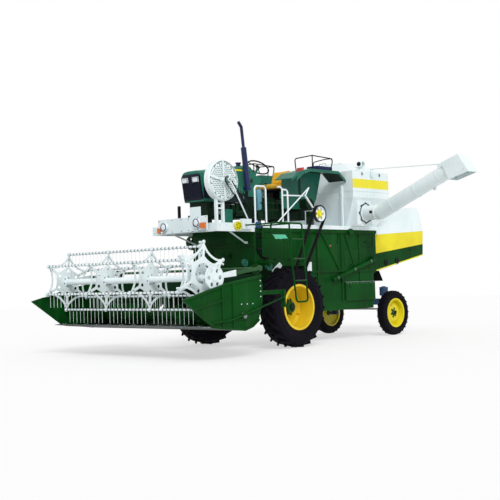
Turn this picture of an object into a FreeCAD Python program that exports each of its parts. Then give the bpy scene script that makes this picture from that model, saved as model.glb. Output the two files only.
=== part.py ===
import FreeCAD, Part
import math
import os

# Tractor-driven combine harvester, in millimetres.
# The model is laid out in the machine's own datum: X forward from the front axle,
# Y to the left of the centre line, Z up from the ground. When the pieces are written
# they are shifted level, so that the origin is the centre of the bounding box's base.

os.makedirs("parts", exist_ok=True)
Vec = FreeCAD.Vector
NODES = {}

# ---------------------------------------------------------------- driving dimensions
SEAT_GAP = 0.3              # running or seating gap between pieces that touch

# Running gear
WHEELBASE = 3250
FRONT_TRACK = 2100
REAR_TRACK = 1600
FRONT_TYRE_RADIUS = 674
FRONT_TYRE_WIDTH = 380
FRONT_RIM_RADIUS = 356
FRONT_RIM_WIDTH = 340
FRONT_RIM_LIP = 28
FRONT_DISH = -161
FRONT_LUGS = 22
LUG_HEIGHT = 32
REAR_TYRE_RADIUS = 429
REAR_TYRE_WIDTH = 180
REAR_RIM_RADIUS = 254
REAR_RIM_WIDTH = 150
REAR_RIM_LIP = 26
REAR_DISH = -10
RIM_FLANGE = 12
AXLE_BEAM = 180
FINAL_DRIVE_RADIUS = 110
FRONT_SPINDLE_RADIUS = 45
REAR_SPINDLE_RADIUS = 25
KINGPIN_RADIUS = 22
KINGPIN_TOP = 930
KINGPIN_Y = 600
STEERING_ARM = 180
STEERING_ARM_Z = 470
TIE_PIN_RADIUS = 12
TOW_X = -3440
TOW_Z = 538
TOW_PLATE = 16
TOW_HOLE_RADIUS = 16
REAR_SHOULDER_BLOCKS = 24

# Thresher body
BODY_HALF_WIDTH = 750
BODY_FRONT = 550
BODY_REAR = -2830
BODY_TOP = 2020
BODY_NOSE_BOTTOM = 1370
BODY_BOTTOM = 700
ARCH_REAR = -880
RAIL_DEPTH = 150
RAIL_WIDTH = 60
RAIL_END = -2700
SIEVE_BOX_REACH = 30
DRUM_HOUSING_BOTTOM = 1000
# x, z, radius, reach out from the side
SIDE_BOSSES = [(-1690, 1160, 46, 70), (-2690, 1466, 62, 78), (-1985, 1983, 30, 44)]

# Deck
DECK_THICKNESS = 70
DECK_FRONT = 1450
DECK_REAR = -2950
DECK_HALF_WIDTH = 785
LADDER_Y = 1400
LADDER_FOOT = 770
PLATFORM_Z = 1840
RUNG_HEIGHTS = [1115, 1472, 1793]

# Grain tank
TANK_FRONT = -1910
TANK_LENGTH = 1120
TANK_HALF_WIDTH = 950
TANK_FOOT_HALF_WIDTH = 700
TANK_FOOT_INSET = 90
TANK_KNUCKLE = 2620
TANK_WALL_TOP = 3100
TANK_ROOF_TOP = 3290
TANK_SHEET = 12
VENT_X = -2400
VENT_Z = 3262

# Unloading auger
OUTLET_X = -2250
AUGER_RADIUS = 135
AUGER_NECK = 360
AUGER_REACH = 1580
AUGER_RISE_DEG = 23.0
AUGER_SHEET = 8
FLANGE_RADIUS = 190

# Straw hood
HOOD_HALF_WIDTH = 650
HOOD_REAR = -4600
HOOD_SHEET = 12

# Header
HEADER_HALF_WIDTH = 1830
SIDE_SHEET = 12
TROUGH_X = 1970
TROUGH_Z = 625
TROUGH_RADIUS = 210
CUTTER_X = 2660
CUTTER_Z = 500
HEADER_BACK = 1570
HEADER_TOP = 1240
PAN_SHEET = 8
FINGER_PITCH = 76.2
FINGER_LENGTH = 95
CROP_AUGER_RADIUS = 190
CROP_AUGER_TUBE = 95
CROP_AUGER_PITCH = 420
# x, low z, high z of the upright ribs on the header's side sheets
SIDE_RIBS = [(2420, 490, 1082), (2200, 445, 1118)]

# Feeder house
FEEDER_HALF_WIDTH = 425
FEEDER_PIVOT_X = 620
FEEDER_PIVOT_Z = 1100
FEEDER_REAR_RADIUS = 230
FEEDER_SHEET = 12
FEEDER_PIVOT_RADIUS = 40
LIFT_Y = 300
LIFT_BASE_X = 190
LIFT_BASE_Z = 560
LIFT_HEAD_X = 1250
LIFT_HEAD_Z = 600
LIFT_EAR = 32
LIFT_PIN_RADIUS = 18
LIFT_HEAD_PIN = 14
LIFT_BARREL_RADIUS = 42
LIFT_ROD_RADIUS = 26
LIFT_EYE_PLAY = 9

# Reel
REEL_X = 2530
REEL_Z = 1205
REEL_RADIUS = 465
REEL_BATS = 6
REEL_PHASE_DEG = 35
REEL_SHAFT_RADIUS = 50
BAT_RADIUS = 17
STAR_COUNT = 4
STAR_THICKNESS = 8
TINES_PER_BAY = 10
TINE_LENGTH = 200
TINE_WIDTH = 6
RING_OFFSET_X = 80
RING_OFFSET_Z = 62
REEL_PULLEY_RADIUS = 180
REEL_ARM_PIVOT_X = 1500
REEL_ARM_PIVOT_Z = 1330

# Tractor on the deck
BONNET_FRONT = 1260
BONNET_REAR = 180
BONNET_HALF_WIDTH = 265
BONNET_BOTTOM = 2480
BONNET_FRONT_TOP = 3000
BONNET_REAR_TOP = 3150
SCREEN_X = 1060
SCREEN_Y = 520
SCREEN_Z = 2800
SCREEN_RADIUS = 340
SCREEN_DEPTH = 120
SCREEN_SHAFT = 20
EXHAUST_Y = 360
GEARBOX_TOP = 2600
FENDER_TOP = 3090
STEERING_X = -390
STEERING_Z = 3160
BOARD_X = 1500
BOARD_RIGHT = -550
BOARD_LEFT = 400
BOARD_LOW = 1960
BOARD_HIGH = 2200

# Values worked out from the above
DECK_TOP = BODY_TOP + DECK_THICKNESS
TANK_REAR = TANK_FRONT - TANK_LENGTH
LID_HINGE_X = TANK_REAR + 334
LID_HINGE_Z = TANK_ROOF_TOP + 16
REAR_AXLE_X = -WHEELBASE
OUTLET_Z = DECK_TOP + 235
OUTLET_FACE = TANK_HALF_WIDTH + 15
HINGE_X = OUTLET_X - FLANGE_RADIUS - 25
STAY_END_Y = OUTLET_FACE + 1635
STAY_END_Z = OUTLET_Z + 735
STAY_EYE_Z = STAY_END_Z + 90
PULLEY_Y = DECK_HALF_WIDTH + 37
BAT_START_Y = -HEADER_HALF_WIDTH + 55
BAT_END_Y = HEADER_HALF_WIDTH - 330
RING_Y = HEADER_HALF_WIDTH - 190
STAR_FIRST_Y = BAT_START_Y + 15
STAR_PITCH = (BAT_END_Y - 30 - STAR_FIRST_Y) / (STAR_COUNT - 1)
STAR_STATIONS = [STAR_FIRST_Y + STAR_PITCH * index for index in range(STAR_COUNT)]


# ---------------------------------------------------------------- shape helpers
def block(x, y, z):
    """Box between the low and high value of each axis."""
    box = Part.makeBox(x[1] - x[0], y[1] - y[0], z[1] - z[0])
    return box.translate(Vec(x[0], y[0], z[0]))


def prism_y(points, y0, y1):
    """Outline of (x, z) points drawn out from y0 to y1."""
    corners = [Vec(x, y0, z) for x, z in points]
    face = Part.Face(Part.makePolygon(corners + corners[:1]))
    return face.extrude(Vec(0, y1 - y0, 0))


def prism_x(points, x0, x1):
    """Outline of (y, z) points drawn out from x0 to x1."""
    corners = [Vec(x0, y, z) for y, z in points]
    face = Part.Face(Part.makePolygon(corners + corners[:1]))
    return face.extrude(Vec(x1 - x0, 0, 0))


def prism_z(points, z0, z1):
    """Outline of (x, y) points drawn up from z0 to z1."""
    corners = [Vec(x, y, z0) for x, y in points]
    face = Part.Face(Part.makePolygon(corners + corners[:1]))
    return face.extrude(Vec(0, 0, z1 - z0))


def disc_y(x, z, radius, y0, y1, bore=0):
    """Disc or ring about an axis along Y."""
    disc = Part.makeCylinder(radius, y1 - y0, Vec(x, y0, z), Vec(0, 1, 0))
    if bore:
        disc = disc.cut(Part.makeCylinder(bore, y1 - y0 + 2, Vec(x, y0 - 1, z), Vec(0, 1, 0)))
    return disc


def rod(start, end, radius):
    """Round bar between two points."""
    a = Vec(*start)
    line = Vec(*end) - a
    return Part.makeCylinder(radius, line.Length, a, line)


def spin_y(points, x, z):
    """Outline of (radius, y) points turned about the Y axis through (x, z)."""
    corners = [Vec(x + r, y, z) for r, y in points]
    face = Part.Face(Part.makePolygon(corners + corners[:1]))
    return face.revolve(Vec(x, 0, z), Vec(0, 1, 0), 360)


def grooved_pulley(x, z, radius, y0, y1):
    """Pulley with a hub, a thin web with round holes and a flat rim."""
    middle = (y0 + y1) / 2
    outline = [(40, y0), (0.34 * radius, y0), (0.34 * radius, middle - 7), (radius - 16, middle - 7),
               (radius - 16, y0), (radius, y0), (radius, y1), (radius - 16, y1), (radius - 16, middle + 7),
               (0.34 * radius, middle + 7), (0.34 * radius, y1), (40, y1)]
    pulley = spin_y(outline, x, z)
    hole = disc_y(x + 0.62 * radius, z, 0.17 * radius, middle - 9, middle + 9)
    holes = [hole.copy().rotate(Vec(x, 0, z), Vec(0, 1, 0), 60 * index) for index in range(6)]
    return pulley.cut(holes)


def bent_rail(points, radius, bend):
    """Round bar along straight runs joined by arcs of the given bend radius."""
    pts = [Vec(*p) for p in points]
    edges = []
    start = pts[0]
    for before, corner, after in zip(pts, pts[1:], pts[2:]):
        into = (corner - before).normalize()
        out = (after - corner).normalize()
        turn = into.getAngle(out)
        cut = bend * math.tan(turn / 2)
        first = corner - into * cut
        last = corner + out * cut
        bisector = (out - into).normalize()
        middle = corner + bisector * (bend / math.cos(turn / 2) - bend)
        edges.append(Part.LineSegment(start, first).toShape())
        edges.append(Part.Arc(first, middle, last).toShape())
        start = last
    edges.append(Part.LineSegment(start, pts[-1]).toShape())
    path = Part.Wire(edges)
    ring = Part.Wire(Part.makeCircle(radius, pts[0], pts[1] - pts[0]))
    return path.makePipeShell([ring], True, False)


def fuse(shapes):
    """One shape from pieces that meet."""
    shapes = list(shapes)
    joined = shapes[0].multiFuse(shapes[1:]) if len(shapes) > 1 else shapes[0]
    return joined.removeSplitter()


def mirrored(shape):
    """The same piece on the other side of the centre line."""
    return shape.mirror(Vec(0, 0, 0), Vec(0, 1, 0))


def both_sides(shape):
    """A left piece and its right twin."""
    return Part.makeCompound([shape, mirrored(shape)])


def node(name, shape):
    """Keep a finished piece under its name."""
    NODES[name] = shape


# ---------------------------------------------------------------- wheels
def lugged_tyre():
    """Drive tyre about the origin: carcass ring with two rows of slanted lugs."""
    half = FRONT_TYRE_WIDTH / 2
    tread = FRONT_TYRE_RADIUS - LUG_HEIGHT
    bead = FRONT_RIM_RADIUS + SEAT_GAP
    seat = FRONT_RIM_WIDTH / 2 - RIM_FLANGE - SEAT_GAP
    side = [(bead, seat), (FRONT_RIM_RADIUS + FRONT_RIM_LIP + 4, seat), (bead + 50, 0.88 * half),
            (bead + 150, half), (tread - 40, 0.97 * half), (tread - 8, 0.80 * half), (tread, 0.40 * half)]
    outline = side + [(r, -y) for r, y in reversed(side)]
    carcass = spin_y(outline, 0, 0)
    top = math.sqrt(FRONT_TYRE_RADIUS ** 2 - 88 ** 2)
    foot = tread - 14
    lug = prism_y([(-22, foot), (22, foot), (15, top), (-15, top)], -108, 108)
    lug.rotate(Vec(0, 0, 0), Vec(0, 0, 1), -45)
    lug.translate(Vec(0, 0.47 * half, 0))
    lugs = []
    for index in range(FRONT_LUGS):
        angle = 360.0 * index / FRONT_LUGS
        lugs.append(lug.copy().rotate(Vec(0, 0, 0), Vec(0, 1, 0), angle))
        twin = mirrored(lug).rotate(Vec(0, 0, 0), Vec(0, 1, 0), angle + 180.0 / FRONT_LUGS)
        lugs.append(twin)
    return carcass.multiFuse(lugs)


def ribbed_tyre():
    """Steering tyre about the origin: three circumferential ribs and small blocks on its shoulders."""
    half = REAR_TYRE_WIDTH / 2
    bead = REAR_RIM_RADIUS + SEAT_GAP
    seat = REAR_RIM_WIDTH / 2 - RIM_FLANGE - SEAT_GAP
    r = REAR_TYRE_RADIUS
    side = [(bead, seat), (REAR_RIM_RADIUS + REAR_RIM_LIP + 3, seat), (bead + 45, 0.90 * half),
            (bead + 95, half), (r - 30, 0.90 * half), (r - 12, 0.66 * half), (r - 12, 0.44 * half),
            (r - 2, 0.40 * half), (r - 2, 0.24 * half), (r - 12, 0.20 * half), (r - 12, 0.14 * half), (r, 0.10 * half)]
    carcass = spin_y(side + [(radius, -y) for radius, y in reversed(side)], 0, 0)
    blocks = []
    for index in range(REAR_SHOULDER_BLOCKS):
        turn = 360.0 * index / REAR_SHOULDER_BLOCKS
        for low, high, shift in ((0.56 * half, 0.90 * half, 0), (-0.90 * half, -0.56 * half, 0.5)):
            piece = block((-9, 9), (low, high), (r - 40, r - 9))
            blocks.append(piece.rotate(Vec(0, 0, 0), Vec(0, 1, 0), turn + shift * 360.0 / REAR_SHOULDER_BLOCKS))
    return carcass.multiFuse(blocks)


def wheel_rim(radius, width, lip, dish, flat, rise, hole, hub_radius, hub_length):
    """Rim about the origin: flanged barrel, disc that rises beyond its flat, and hub; outboard is +Y."""
    half = width / 2
    inner = half - RIM_FLANGE
    sheet = 10
    barrel = [(radius, -inner), (radius + lip, -inner), (radius + lip, -half), (radius - sheet, -half),
              (radius - sheet, half), (radius + lip, half), (radius + lip, inner), (radius, inner)]
    disc = [(hub_radius - 2, dish + 26), (flat, dish + 26), (radius - sheet + 2, dish + 26 + rise),
            (radius - sheet + 2, dish + 14 + rise), (flat, dish + 12), (hub_radius - 2, dish + 12)]
    hub = [(hole, dish), (hub_radius, dish), (hub_radius, dish + 0.6 * hub_length),
           (0.7 * hub_radius, dish + hub_length), (hole, dish + hub_length)]
    return fuse([spin_y(barrel, 0, 0), spin_y(disc, 0, 0), spin_y(hub, 0, 0)])


front_half_track = FRONT_TRACK / 2
rear_half_track = REAR_TRACK / 2
front_tyre = lugged_tyre()
front_rim = wheel_rim(FRONT_RIM_RADIUS, FRONT_RIM_WIDTH, FRONT_RIM_LIP, FRONT_DISH,
                      300, 20, FRONT_SPINDLE_RADIUS + SEAT_GAP, 127, 156)
rear_tyre = ribbed_tyre()
rear_rim = wheel_rim(REAR_RIM_RADIUS, REAR_RIM_WIDTH, REAR_RIM_LIP, REAR_DISH,
                     158, -38, REAR_SPINDLE_RADIUS + SEAT_GAP, 54, 60)

# name, piece, x, y, z
WHEEL_PIECES = [
    ("front_tyre", front_tyre, 0, front_half_track, FRONT_TYRE_RADIUS),
    ("front_rim", front_rim, 0, front_half_track, FRONT_TYRE_RADIUS),
    ("rear_tyre", rear_tyre, REAR_AXLE_X, rear_half_track, REAR_TYRE_RADIUS),
    ("rear_rim", rear_rim, REAR_AXLE_X, rear_half_track, REAR_TYRE_RADIUS),
]
for name, piece, x, y, z in WHEEL_PIECES:
    left = piece.copy().translate(Vec(x, y, z))
    node(name + "_left", left)
    node(name + "_right", mirrored(left))


# ---------------------------------------------------------------- frame and axles
def frame_beams():
    """Front axle with its final drives, the two long rails and what they carry."""
    z = FRONT_TYRE_RADIUS
    half = AXLE_BEAM / 2
    drive_end = front_half_track + FRONT_DISH - 8
    parts = [block((-half, half), (-760, 760), (z - half, z + half))]
    left = [
        disc_y(0, z, FINAL_DRIVE_RADIUS, 740, drive_end - 25),
        disc_y(0, z, 70, 780, drive_end),
        disc_y(0, z, FRONT_SPINDLE_RADIUS, 800, front_half_track + 10),
        block((RAIL_END, -half + 10), (BODY_HALF_WIDTH - RAIL_WIDTH, BODY_HALF_WIDTH),
              (BODY_BOTTOM - RAIL_DEPTH, BODY_BOTTOM)),
        block((-60, 60), (330, 420), (z + half - 10, DRUM_HOUSING_BOTTOM)),
    ]
    bracket = prism_y([(-half, z + 60), (half, z + 60), (FEEDER_PIVOT_X + 70, FEEDER_PIVOT_Z - 60),
                       (FEEDER_PIVOT_X + 70, FEEDER_PIVOT_Z + 60), (FEEDER_PIVOT_X - 70, FEEDER_PIVOT_Z + 60),
                       (-half, z + 190)], FEEDER_HALF_WIDTH + 60, FEEDER_HALF_WIDTH + 85)
    hole = disc_y(FEEDER_PIVOT_X, FEEDER_PIVOT_Z, FEEDER_PIVOT_RADIUS + SEAT_GAP, 400, 600)
    left.append(bracket.cut(hole))
    ear = prism_y([(half - 5, LIFT_BASE_Z - 40), (LIFT_BASE_X + 35, LIFT_BASE_Z - 40),
                   (LIFT_BASE_X + 35, LIFT_BASE_Z + 35), (half - 5, LIFT_BASE_Z + 110)], -6, 6)
    for offset in (-LIFT_EAR, LIFT_EAR):
        left.append(ear.copy().translate(Vec(0, LIFT_Y + offset, 0)))
    left.append(disc_y(LIFT_BASE_X, LIFT_BASE_Z, LIFT_PIN_RADIUS, LIFT_Y - LIFT_EAR - 14, LIFT_Y + LIFT_EAR + 14))
    for piece in left:
        parts += [piece, mirrored(piece)]
    cross = [(-1000, -900), (-2000, -1900), (RAIL_END, RAIL_END + 100)]
    for x0, x1 in cross:
        parts.append(block((x0, x1), (-BODY_HALF_WIDTH + 20, BODY_HALF_WIDTH - 20),
                           (BODY_BOTTOM - 110, BODY_BOTTOM)))
    parts.append(block((REAR_AXLE_X + 80, RAIL_END + 10), (-150, 150), (BODY_BOTTOM - 110, BODY_BOTTOM)))
    parts.append(Part.makeCylinder(35, 230, Vec(REAR_AXLE_X - 110, 0, BODY_BOTTOM - 55), Vec(1, 0, 0)))
    parts.append(block((-3000, -2900), (-60, 60), (TOW_Z, BODY_BOTTOM - 100)))
    plate = block((TOW_X - 40, -2900), (-60, 60), (TOW_Z, TOW_Z + TOW_PLATE))
    parts.append(plate.cut(Part.makeCylinder(TOW_HOLE_RADIUS, 60, Vec(TOW_X, 0, TOW_Z - 20))))
    return fuse(parts)


def rear_axle():
    """Steering axle beam on its centre pivot, with a kingpin housing at each end."""
    z = BODY_BOTTOM - 55
    beam = block((REAR_AXLE_X - 55, REAR_AXLE_X + 55), (-KINGPIN_Y + 40, KINGPIN_Y - 40), (z - 60, z + 60))
    beam = fuse([beam, Part.makeCylinder(75, 140, Vec(REAR_AXLE_X - 70, 0, z), Vec(1, 0, 0))])
    beam = beam.cut(Part.makeCylinder(35 + SEAT_GAP, 160, Vec(REAR_AXLE_X - 80, 0, z), Vec(1, 0, 0)))
    parts = [beam]
    for side in (1, -1):
        parts.append(Part.makeCylinder(45, KINGPIN_TOP - z + 110, Vec(REAR_AXLE_X, side * KINGPIN_Y, z - 110)))
        parts.append(Part.makeCylinder(84, KINGPIN_TOP - 765, Vec(REAR_AXLE_X, side * KINGPIN_Y, 765)))
    axle = fuse(parts)
    for side in (1, -1):
        axle = axle.cut(Part.makeCylinder(KINGPIN_RADIUS + SEAT_GAP, KINGPIN_TOP - z + 140,
                                          Vec(REAR_AXLE_X, side * KINGPIN_Y, z - 120)))
    return axle


def knuckle():
    """Left stub axle: kingpin, foot, spindle and steering arm."""
    z = BODY_BOTTOM - 55
    top = KINGPIN_TOP
    low = z - 110
    pin = Part.makeCylinder(KINGPIN_RADIUS, top - low + 30, Vec(REAR_AXLE_X, KINGPIN_Y, low - 15))
    cap = Part.makeCylinder(40, 14, Vec(REAR_AXLE_X, KINGPIN_Y, top + SEAT_GAP))
    foot = Part.makeCylinder(45, low - SEAT_GAP - (REAR_TYRE_RADIUS - 40),
                             Vec(REAR_AXLE_X, KINGPIN_Y, REAR_TYRE_RADIUS - 40))
    spindle = disc_y(REAR_AXLE_X, REAR_TYRE_RADIUS, REAR_SPINDLE_RADIUS, KINGPIN_Y, rear_half_track + 30)
    collar = disc_y(REAR_AXLE_X, REAR_TYRE_RADIUS, 45, KINGPIN_Y, rear_half_track + REAR_DISH - 8)
    arm = block((REAR_AXLE_X, REAR_AXLE_X + STEERING_ARM + 22), (KINGPIN_Y - 20, KINGPIN_Y + 20),
                (STEERING_ARM_Z, STEERING_ARM_Z + 25))
    arm = arm.cut(Part.makeCylinder(TIE_PIN_RADIUS + SEAT_GAP, 60,
                                    Vec(REAR_AXLE_X + STEERING_ARM, KINGPIN_Y, STEERING_ARM_Z - 20)))
    return fuse([pin, cap, foot, spindle, collar, arm])


node("frame_beams", frame_beams())
node("rear_axle", rear_axle())
left_knuckle = knuckle()
node("knuckle_left", left_knuckle)
node("knuckle_right", mirrored(left_knuckle))
tie_x = REAR_AXLE_X + STEERING_ARM
tie_z = STEERING_ARM_Z + 25 + SEAT_GAP
node("tie_rod", fuse([
    block((tie_x - 15, tie_x + 15), (-KINGPIN_Y - 20, KINGPIN_Y + 20), (tie_z, tie_z + 30)),
    Part.makeCylinder(TIE_PIN_RADIUS, 45, Vec(tie_x, KINGPIN_Y, tie_z - 40)),
    Part.makeCylinder(TIE_PIN_RADIUS, 45, Vec(tie_x, -KINGPIN_Y, tie_z - 40)),
]))


# ---------------------------------------------------------------- thresher body
def thresher_body():
    """Green threshing and cleaning housing with its raised ribs, cross tube and shaft ends."""
    w = BODY_HALF_WIDTH
    outline = [(BODY_FRONT, BODY_TOP), (BODY_FRONT, BODY_NOSE_BOTTOM), (-800, BODY_NOSE_BOTTOM),
               (ARCH_REAR, 1290), (ARCH_REAR, BODY_BOTTOM), (-2730, BODY_BOTTOM), (-2730, 1200),
               (BODY_REAR, 1250), (BODY_REAR, BODY_TOP)]
    parts = [prism_y(outline, -w, w)]
    parts.append(prism_y([(330, BODY_NOSE_BOTTOM), (330, 1180), (180, 1000), (ARCH_REAR, 1000),
                          (ARCH_REAR, BODY_NOSE_BOTTOM)], -440, 440))
    rib = 18
    side = [block((BODY_REAR, BODY_FRONT), (w, w + 25), (BODY_TOP - 60, BODY_TOP))]
    for x in (-1070, -1760, -2300):
        side.append(block((x - 20, x + 20), (w, w + rib), (BODY_BOTTOM, BODY_TOP - 60)))
    # x at the top, z at the top, x at the foot, z at the foot
    for x0, z0, x1, z1 in [(-1180, 1950, -1690, 1250), (-1860, 1950, -2160, 1250)]:
        side.append(prism_y([(x0, z0), (x0 - 40, z0), (x1 - 40, z1), (x1, z1)], w, w + rib))
    panel = block((-2740, -2330), (w, w + rib), (1720, 1930))
    side.append(panel.cut(block((-2715, -2355), (w + 8, w + rib + 1), (1745, 1905))))
    side.append(block((-2730, -1830), (w, w + SIEVE_BOX_REACH), (BODY_BOTTOM + 10, 1050)))
    side.append(block((-2740, ARCH_REAR - 12), (w, w + rib + 6), (1245, 1275)))
    # x, z, radius, reach out from the side
    for x, z, radius, reach in SIDE_BOSSES:
        side.append(disc_y(x, z, radius, w - 5, w + reach))
    side.append(rod((-1420, w + 62, 1100), (-2690, w + 62, 1466), 32))
    side.append(disc_y(-1985, 1983, 58, w + 42, w + 80))
    for piece in side:
        parts += [piece, mirrored(piece)]
    parts.append(block((BODY_FRONT, BODY_FRONT + 20), (-w, w), (1725, 1755)))
    parts.append(block((BODY_FRONT, BODY_FRONT + 25), (-w, w), (BODY_TOP - 60, BODY_TOP)))
    for y, z in ((490, 1450), (130, 1580)):
        parts.append(Part.makeCylinder(58, 26, Vec(BODY_FRONT - 1, y, z), Vec(1, 0, 0)))
        parts.append(Part.makeCylinder(22, 50, Vec(BODY_FRONT - 1, y, z), Vec(1, 0, 0)))
    parts.append(disc_y(450, BODY_NOSE_BOTTOM + 60, 40, w - 5, w + 250))
    parts.append(disc_y(450, BODY_NOSE_BOTTOM + 60, 62, w + 190, w + 225))
    parts.append(disc_y(430, 1840, 26, -w - 190, -w + 5))
    parts.append(grooved_pulley(430, 1840, 130, -w - 175, -w - 95))
    parts.append(disc_y(430, 1840, 44, -w - 175, -w - 95))
    strap = bent_rail([(-1680, w + 12, 2010), (-1680, w + 12, 1850), (-1650, w + 12, 1765)], 11, 40)
    parts.append(strap)
    return fuse(parts)


node("thresher_body", thresher_body())


# ---------------------------------------------------------------- deck, ladder and rails
def edge_box(grow=0):
    """Small box on the deck's left edge beside the ladder."""
    half = DECK_HALF_WIDTH
    return block((700 - grow, 920 + grow), (half - 5, half + 52 + grow), (DECK_TOP - 100 - grow, DECK_TOP + 65))


def deck():
    """Driver's platform that carries the tractor and tank, with its edge beams and front struts."""
    half = DECK_HALF_WIDTH
    plate = block((DECK_REAR, DECK_FRONT), (-half, half), (BODY_TOP, DECK_TOP))
    low = BODY_TOP - 70
    parts = [plate, block((DECK_FRONT - 60, DECK_FRONT), (-half, half), (low, BODY_TOP))]
    for side in (1, -1):
        y0, y1 = sorted((side * (half - 60), side * half))
        parts.append(block((BODY_FRONT + 26, DECK_FRONT), (y0, y1), (low, BODY_TOP)))
        parts.append(rod((1200, side * (half - 90), BODY_TOP - 5), (BODY_FRONT + 34, side * 570, 1772), 14))
        foot = block((BODY_FRONT + SEAT_GAP, BODY_FRONT + 40), (side * 570 - 22, side * 570 + 22), (1758, 1800))
        parts.append(foot)
    parts.append(edge_box())
    return fuse(parts)


def ladder():
    """Access ladder outside the left drive wheel: one bent tube, its rungs and a tilted step plate."""
    y = LADDER_Y
    top = DECK_TOP - 30
    base = PLATFORM_Z + 45
    r = 15
    parts = [bent_rail([(855, y, base), (855, y, top), (95, y, top), (70, y, 1620), (-10, y, LADDER_FOOT),
                        (280, y, LADDER_FOOT), (396, y, 1600)], r, 60)]
    parts.append(rod((396, y, 1600), (410, y, top), r))
    parts.append(Part.makeSphere(r, Vec(396, y, 1600)))
    parts.append(rod((855, y, base), (407, y, base), r))
    parts.append(rod((855, y, base), (402, y, base - 170), 9))
    for z in RUNG_HEIGHTS:
        share = (z - LADDER_FOOT) / 1150
        x0 = -10 + 80 * share
        x1 = 280 + 120 * share
        parts.append(block((x0, x1), (y - 18, y + 22), (z - 9, z + 9)))
    edge = DECK_HALF_WIDTH + SEAT_GAP
    for x in (412, 843):
        parts.append(block((x - 10, x + 10), (edge, y), (top - 22, top)))
    parts.append(block((402, 422), (edge, edge + 24), (PLATFORM_Z - 12, top)))
    parts.append(block((402, 422), (edge, y), (PLATFORM_Z - 12, PLATFORM_Z + 8)))
    parts.append(prism_y([(826, base + 4), (532, base + 4), (453, base - 75), (749, base - 88)], y - 4, y + 4))
    return fuse(parts).cut(edge_box(SEAT_GAP))


def handrails():
    """White tube rails along the deck's left edge: two hoops, a hooked end and a level bar."""
    r = 16
    y = DECK_HALF_WIDTH - 40
    top = DECK_TOP + 630
    step = bent_rail([(-60, y, top + 10), (-180, y, top + 10), (-180, y, DECK_TOP)], r, 60)
    hoop = bent_rail([(-180, y, top - 30), (-320, y, top - 30), (-320, y, DECK_TOP)], r, 60)
    bar = rod((-180, y, top - 130), (-736, y, top - 118), r - 3)
    return Part.makeCompound([
        bent_rail([(510, y, DECK_TOP), (510, y, top), (240, y, top), (240, y, DECK_TOP)], r, 60),
        fuse([step, hoop, bar]),
    ])


node("deck", deck())
node("ladder", ladder())
node("handrails", handrails())


# ---------------------------------------------------------------- light board and lamps
def light_board():
    """White lamp board ahead of the deck, with a lamp plate at its left end and a small plate on top."""
    board = block((BOARD_X, BOARD_X + 25), (BOARD_RIGHT, BOARD_LEFT), (BOARD_LOW, BOARD_HIGH))
    end = block((BOARD_X - 5, BOARD_X + 20), (BOARD_LEFT + 25, BOARD_LEFT + 220),
                (BOARD_LOW + 15, BOARD_HIGH + 10))
    strap = block((BOARD_X - 11, BOARD_X), (BOARD_LEFT - 80, BOARD_LEFT + 60), (2050, 2090))
    plate = block((BOARD_X, BOARD_X + 20), (BOARD_LEFT - 170, BOARD_LEFT + 70),
                  (BOARD_HIGH - 5, BOARD_HIGH + 160))
    rail = block((DECK_FRONT - 40, BOARD_X), (BOARD_LEFT - 110, BOARD_LEFT - 20),
                 (DECK_TOP + SEAT_GAP, DECK_TOP + 40))
    parts = [board, end, strap, plate, rail]
    for y in (BOARD_RIGHT + 150, BOARD_LEFT - 120):
        parts.append(block((DECK_FRONT + SEAT_GAP, BOARD_X), (y - 30, y + 30), (BODY_TOP + 5, DECK_TOP - 5)))
    return fuse(parts)


def lamp(x, y, z, radius, depth):
    """Round lamp facing forward."""
    return Part.makeCylinder(radius, depth, Vec(x, y, z), Vec(1, 0, 0))


def nose_x(z):
    """Where the bonnet's leaning nose stands at a height."""
    return BONNET_FRONT - 60 + (z - BONNET_BOTTOM) * 0.15


def nose_slab(z0, z1, near, far, y0, y1):
    """Slab parallel to the nose, between two distances ahead of it."""
    low, high = nose_x(z0), nose_x(z1)
    return prism_y([(low + near, z0), (low + far, z0), (high + far, z1), (high + near, z1)], y0, y1)


def fender_lamp(side):
    """Red marker lamp on the front slope of a mudguard."""
    base = [(x, 3010 + (-560 - x) * (FENDER_TOP - 3010) / 340 + 1.1 * SEAT_GAP) for x in (-690, -770)]
    slab = prism_y(base + [(-770, FENDER_TOP + 22), (-696, FENDER_TOP + 10)], 655, 755)
    return slab if side > 0 else mirrored(slab)


node("light_board", light_board())
node("headlamps", Part.makeCompound([
    lamp(BOARD_X + 25 + SEAT_GAP, -380, 2070, 76, 40),
    lamp(BOARD_X + 25 + SEAT_GAP, 413, 2100, 76, 40),
    nose_slab(2800, 2885, 12 + SEAT_GAP, 30, 60, 195),
    nose_slab(2800, 2885, 12 + SEAT_GAP, 30, -195, -60),
    lamp(BOARD_X + 25 + SEAT_GAP, -420, BOARD_LOW + 22, 20, 45),
    lamp(BOARD_X + 25 + SEAT_GAP, 300, BOARD_LOW + 22, 20, 45),
]))
node("indicators", Part.makeCompound([
    block((BOARD_X + 20 + SEAT_GAP, BOARD_X + 60), (BOARD_LEFT + 105, BOARD_LEFT + 200), (2005, 2095)),
    block((BOARD_X + 25 + SEAT_GAP, BOARD_X + 60), (BOARD_RIGHT + 5, BOARD_RIGHT + 85), (1975, 2060)),
    fender_lamp(1),
    fender_lamp(-1),
]))


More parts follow.
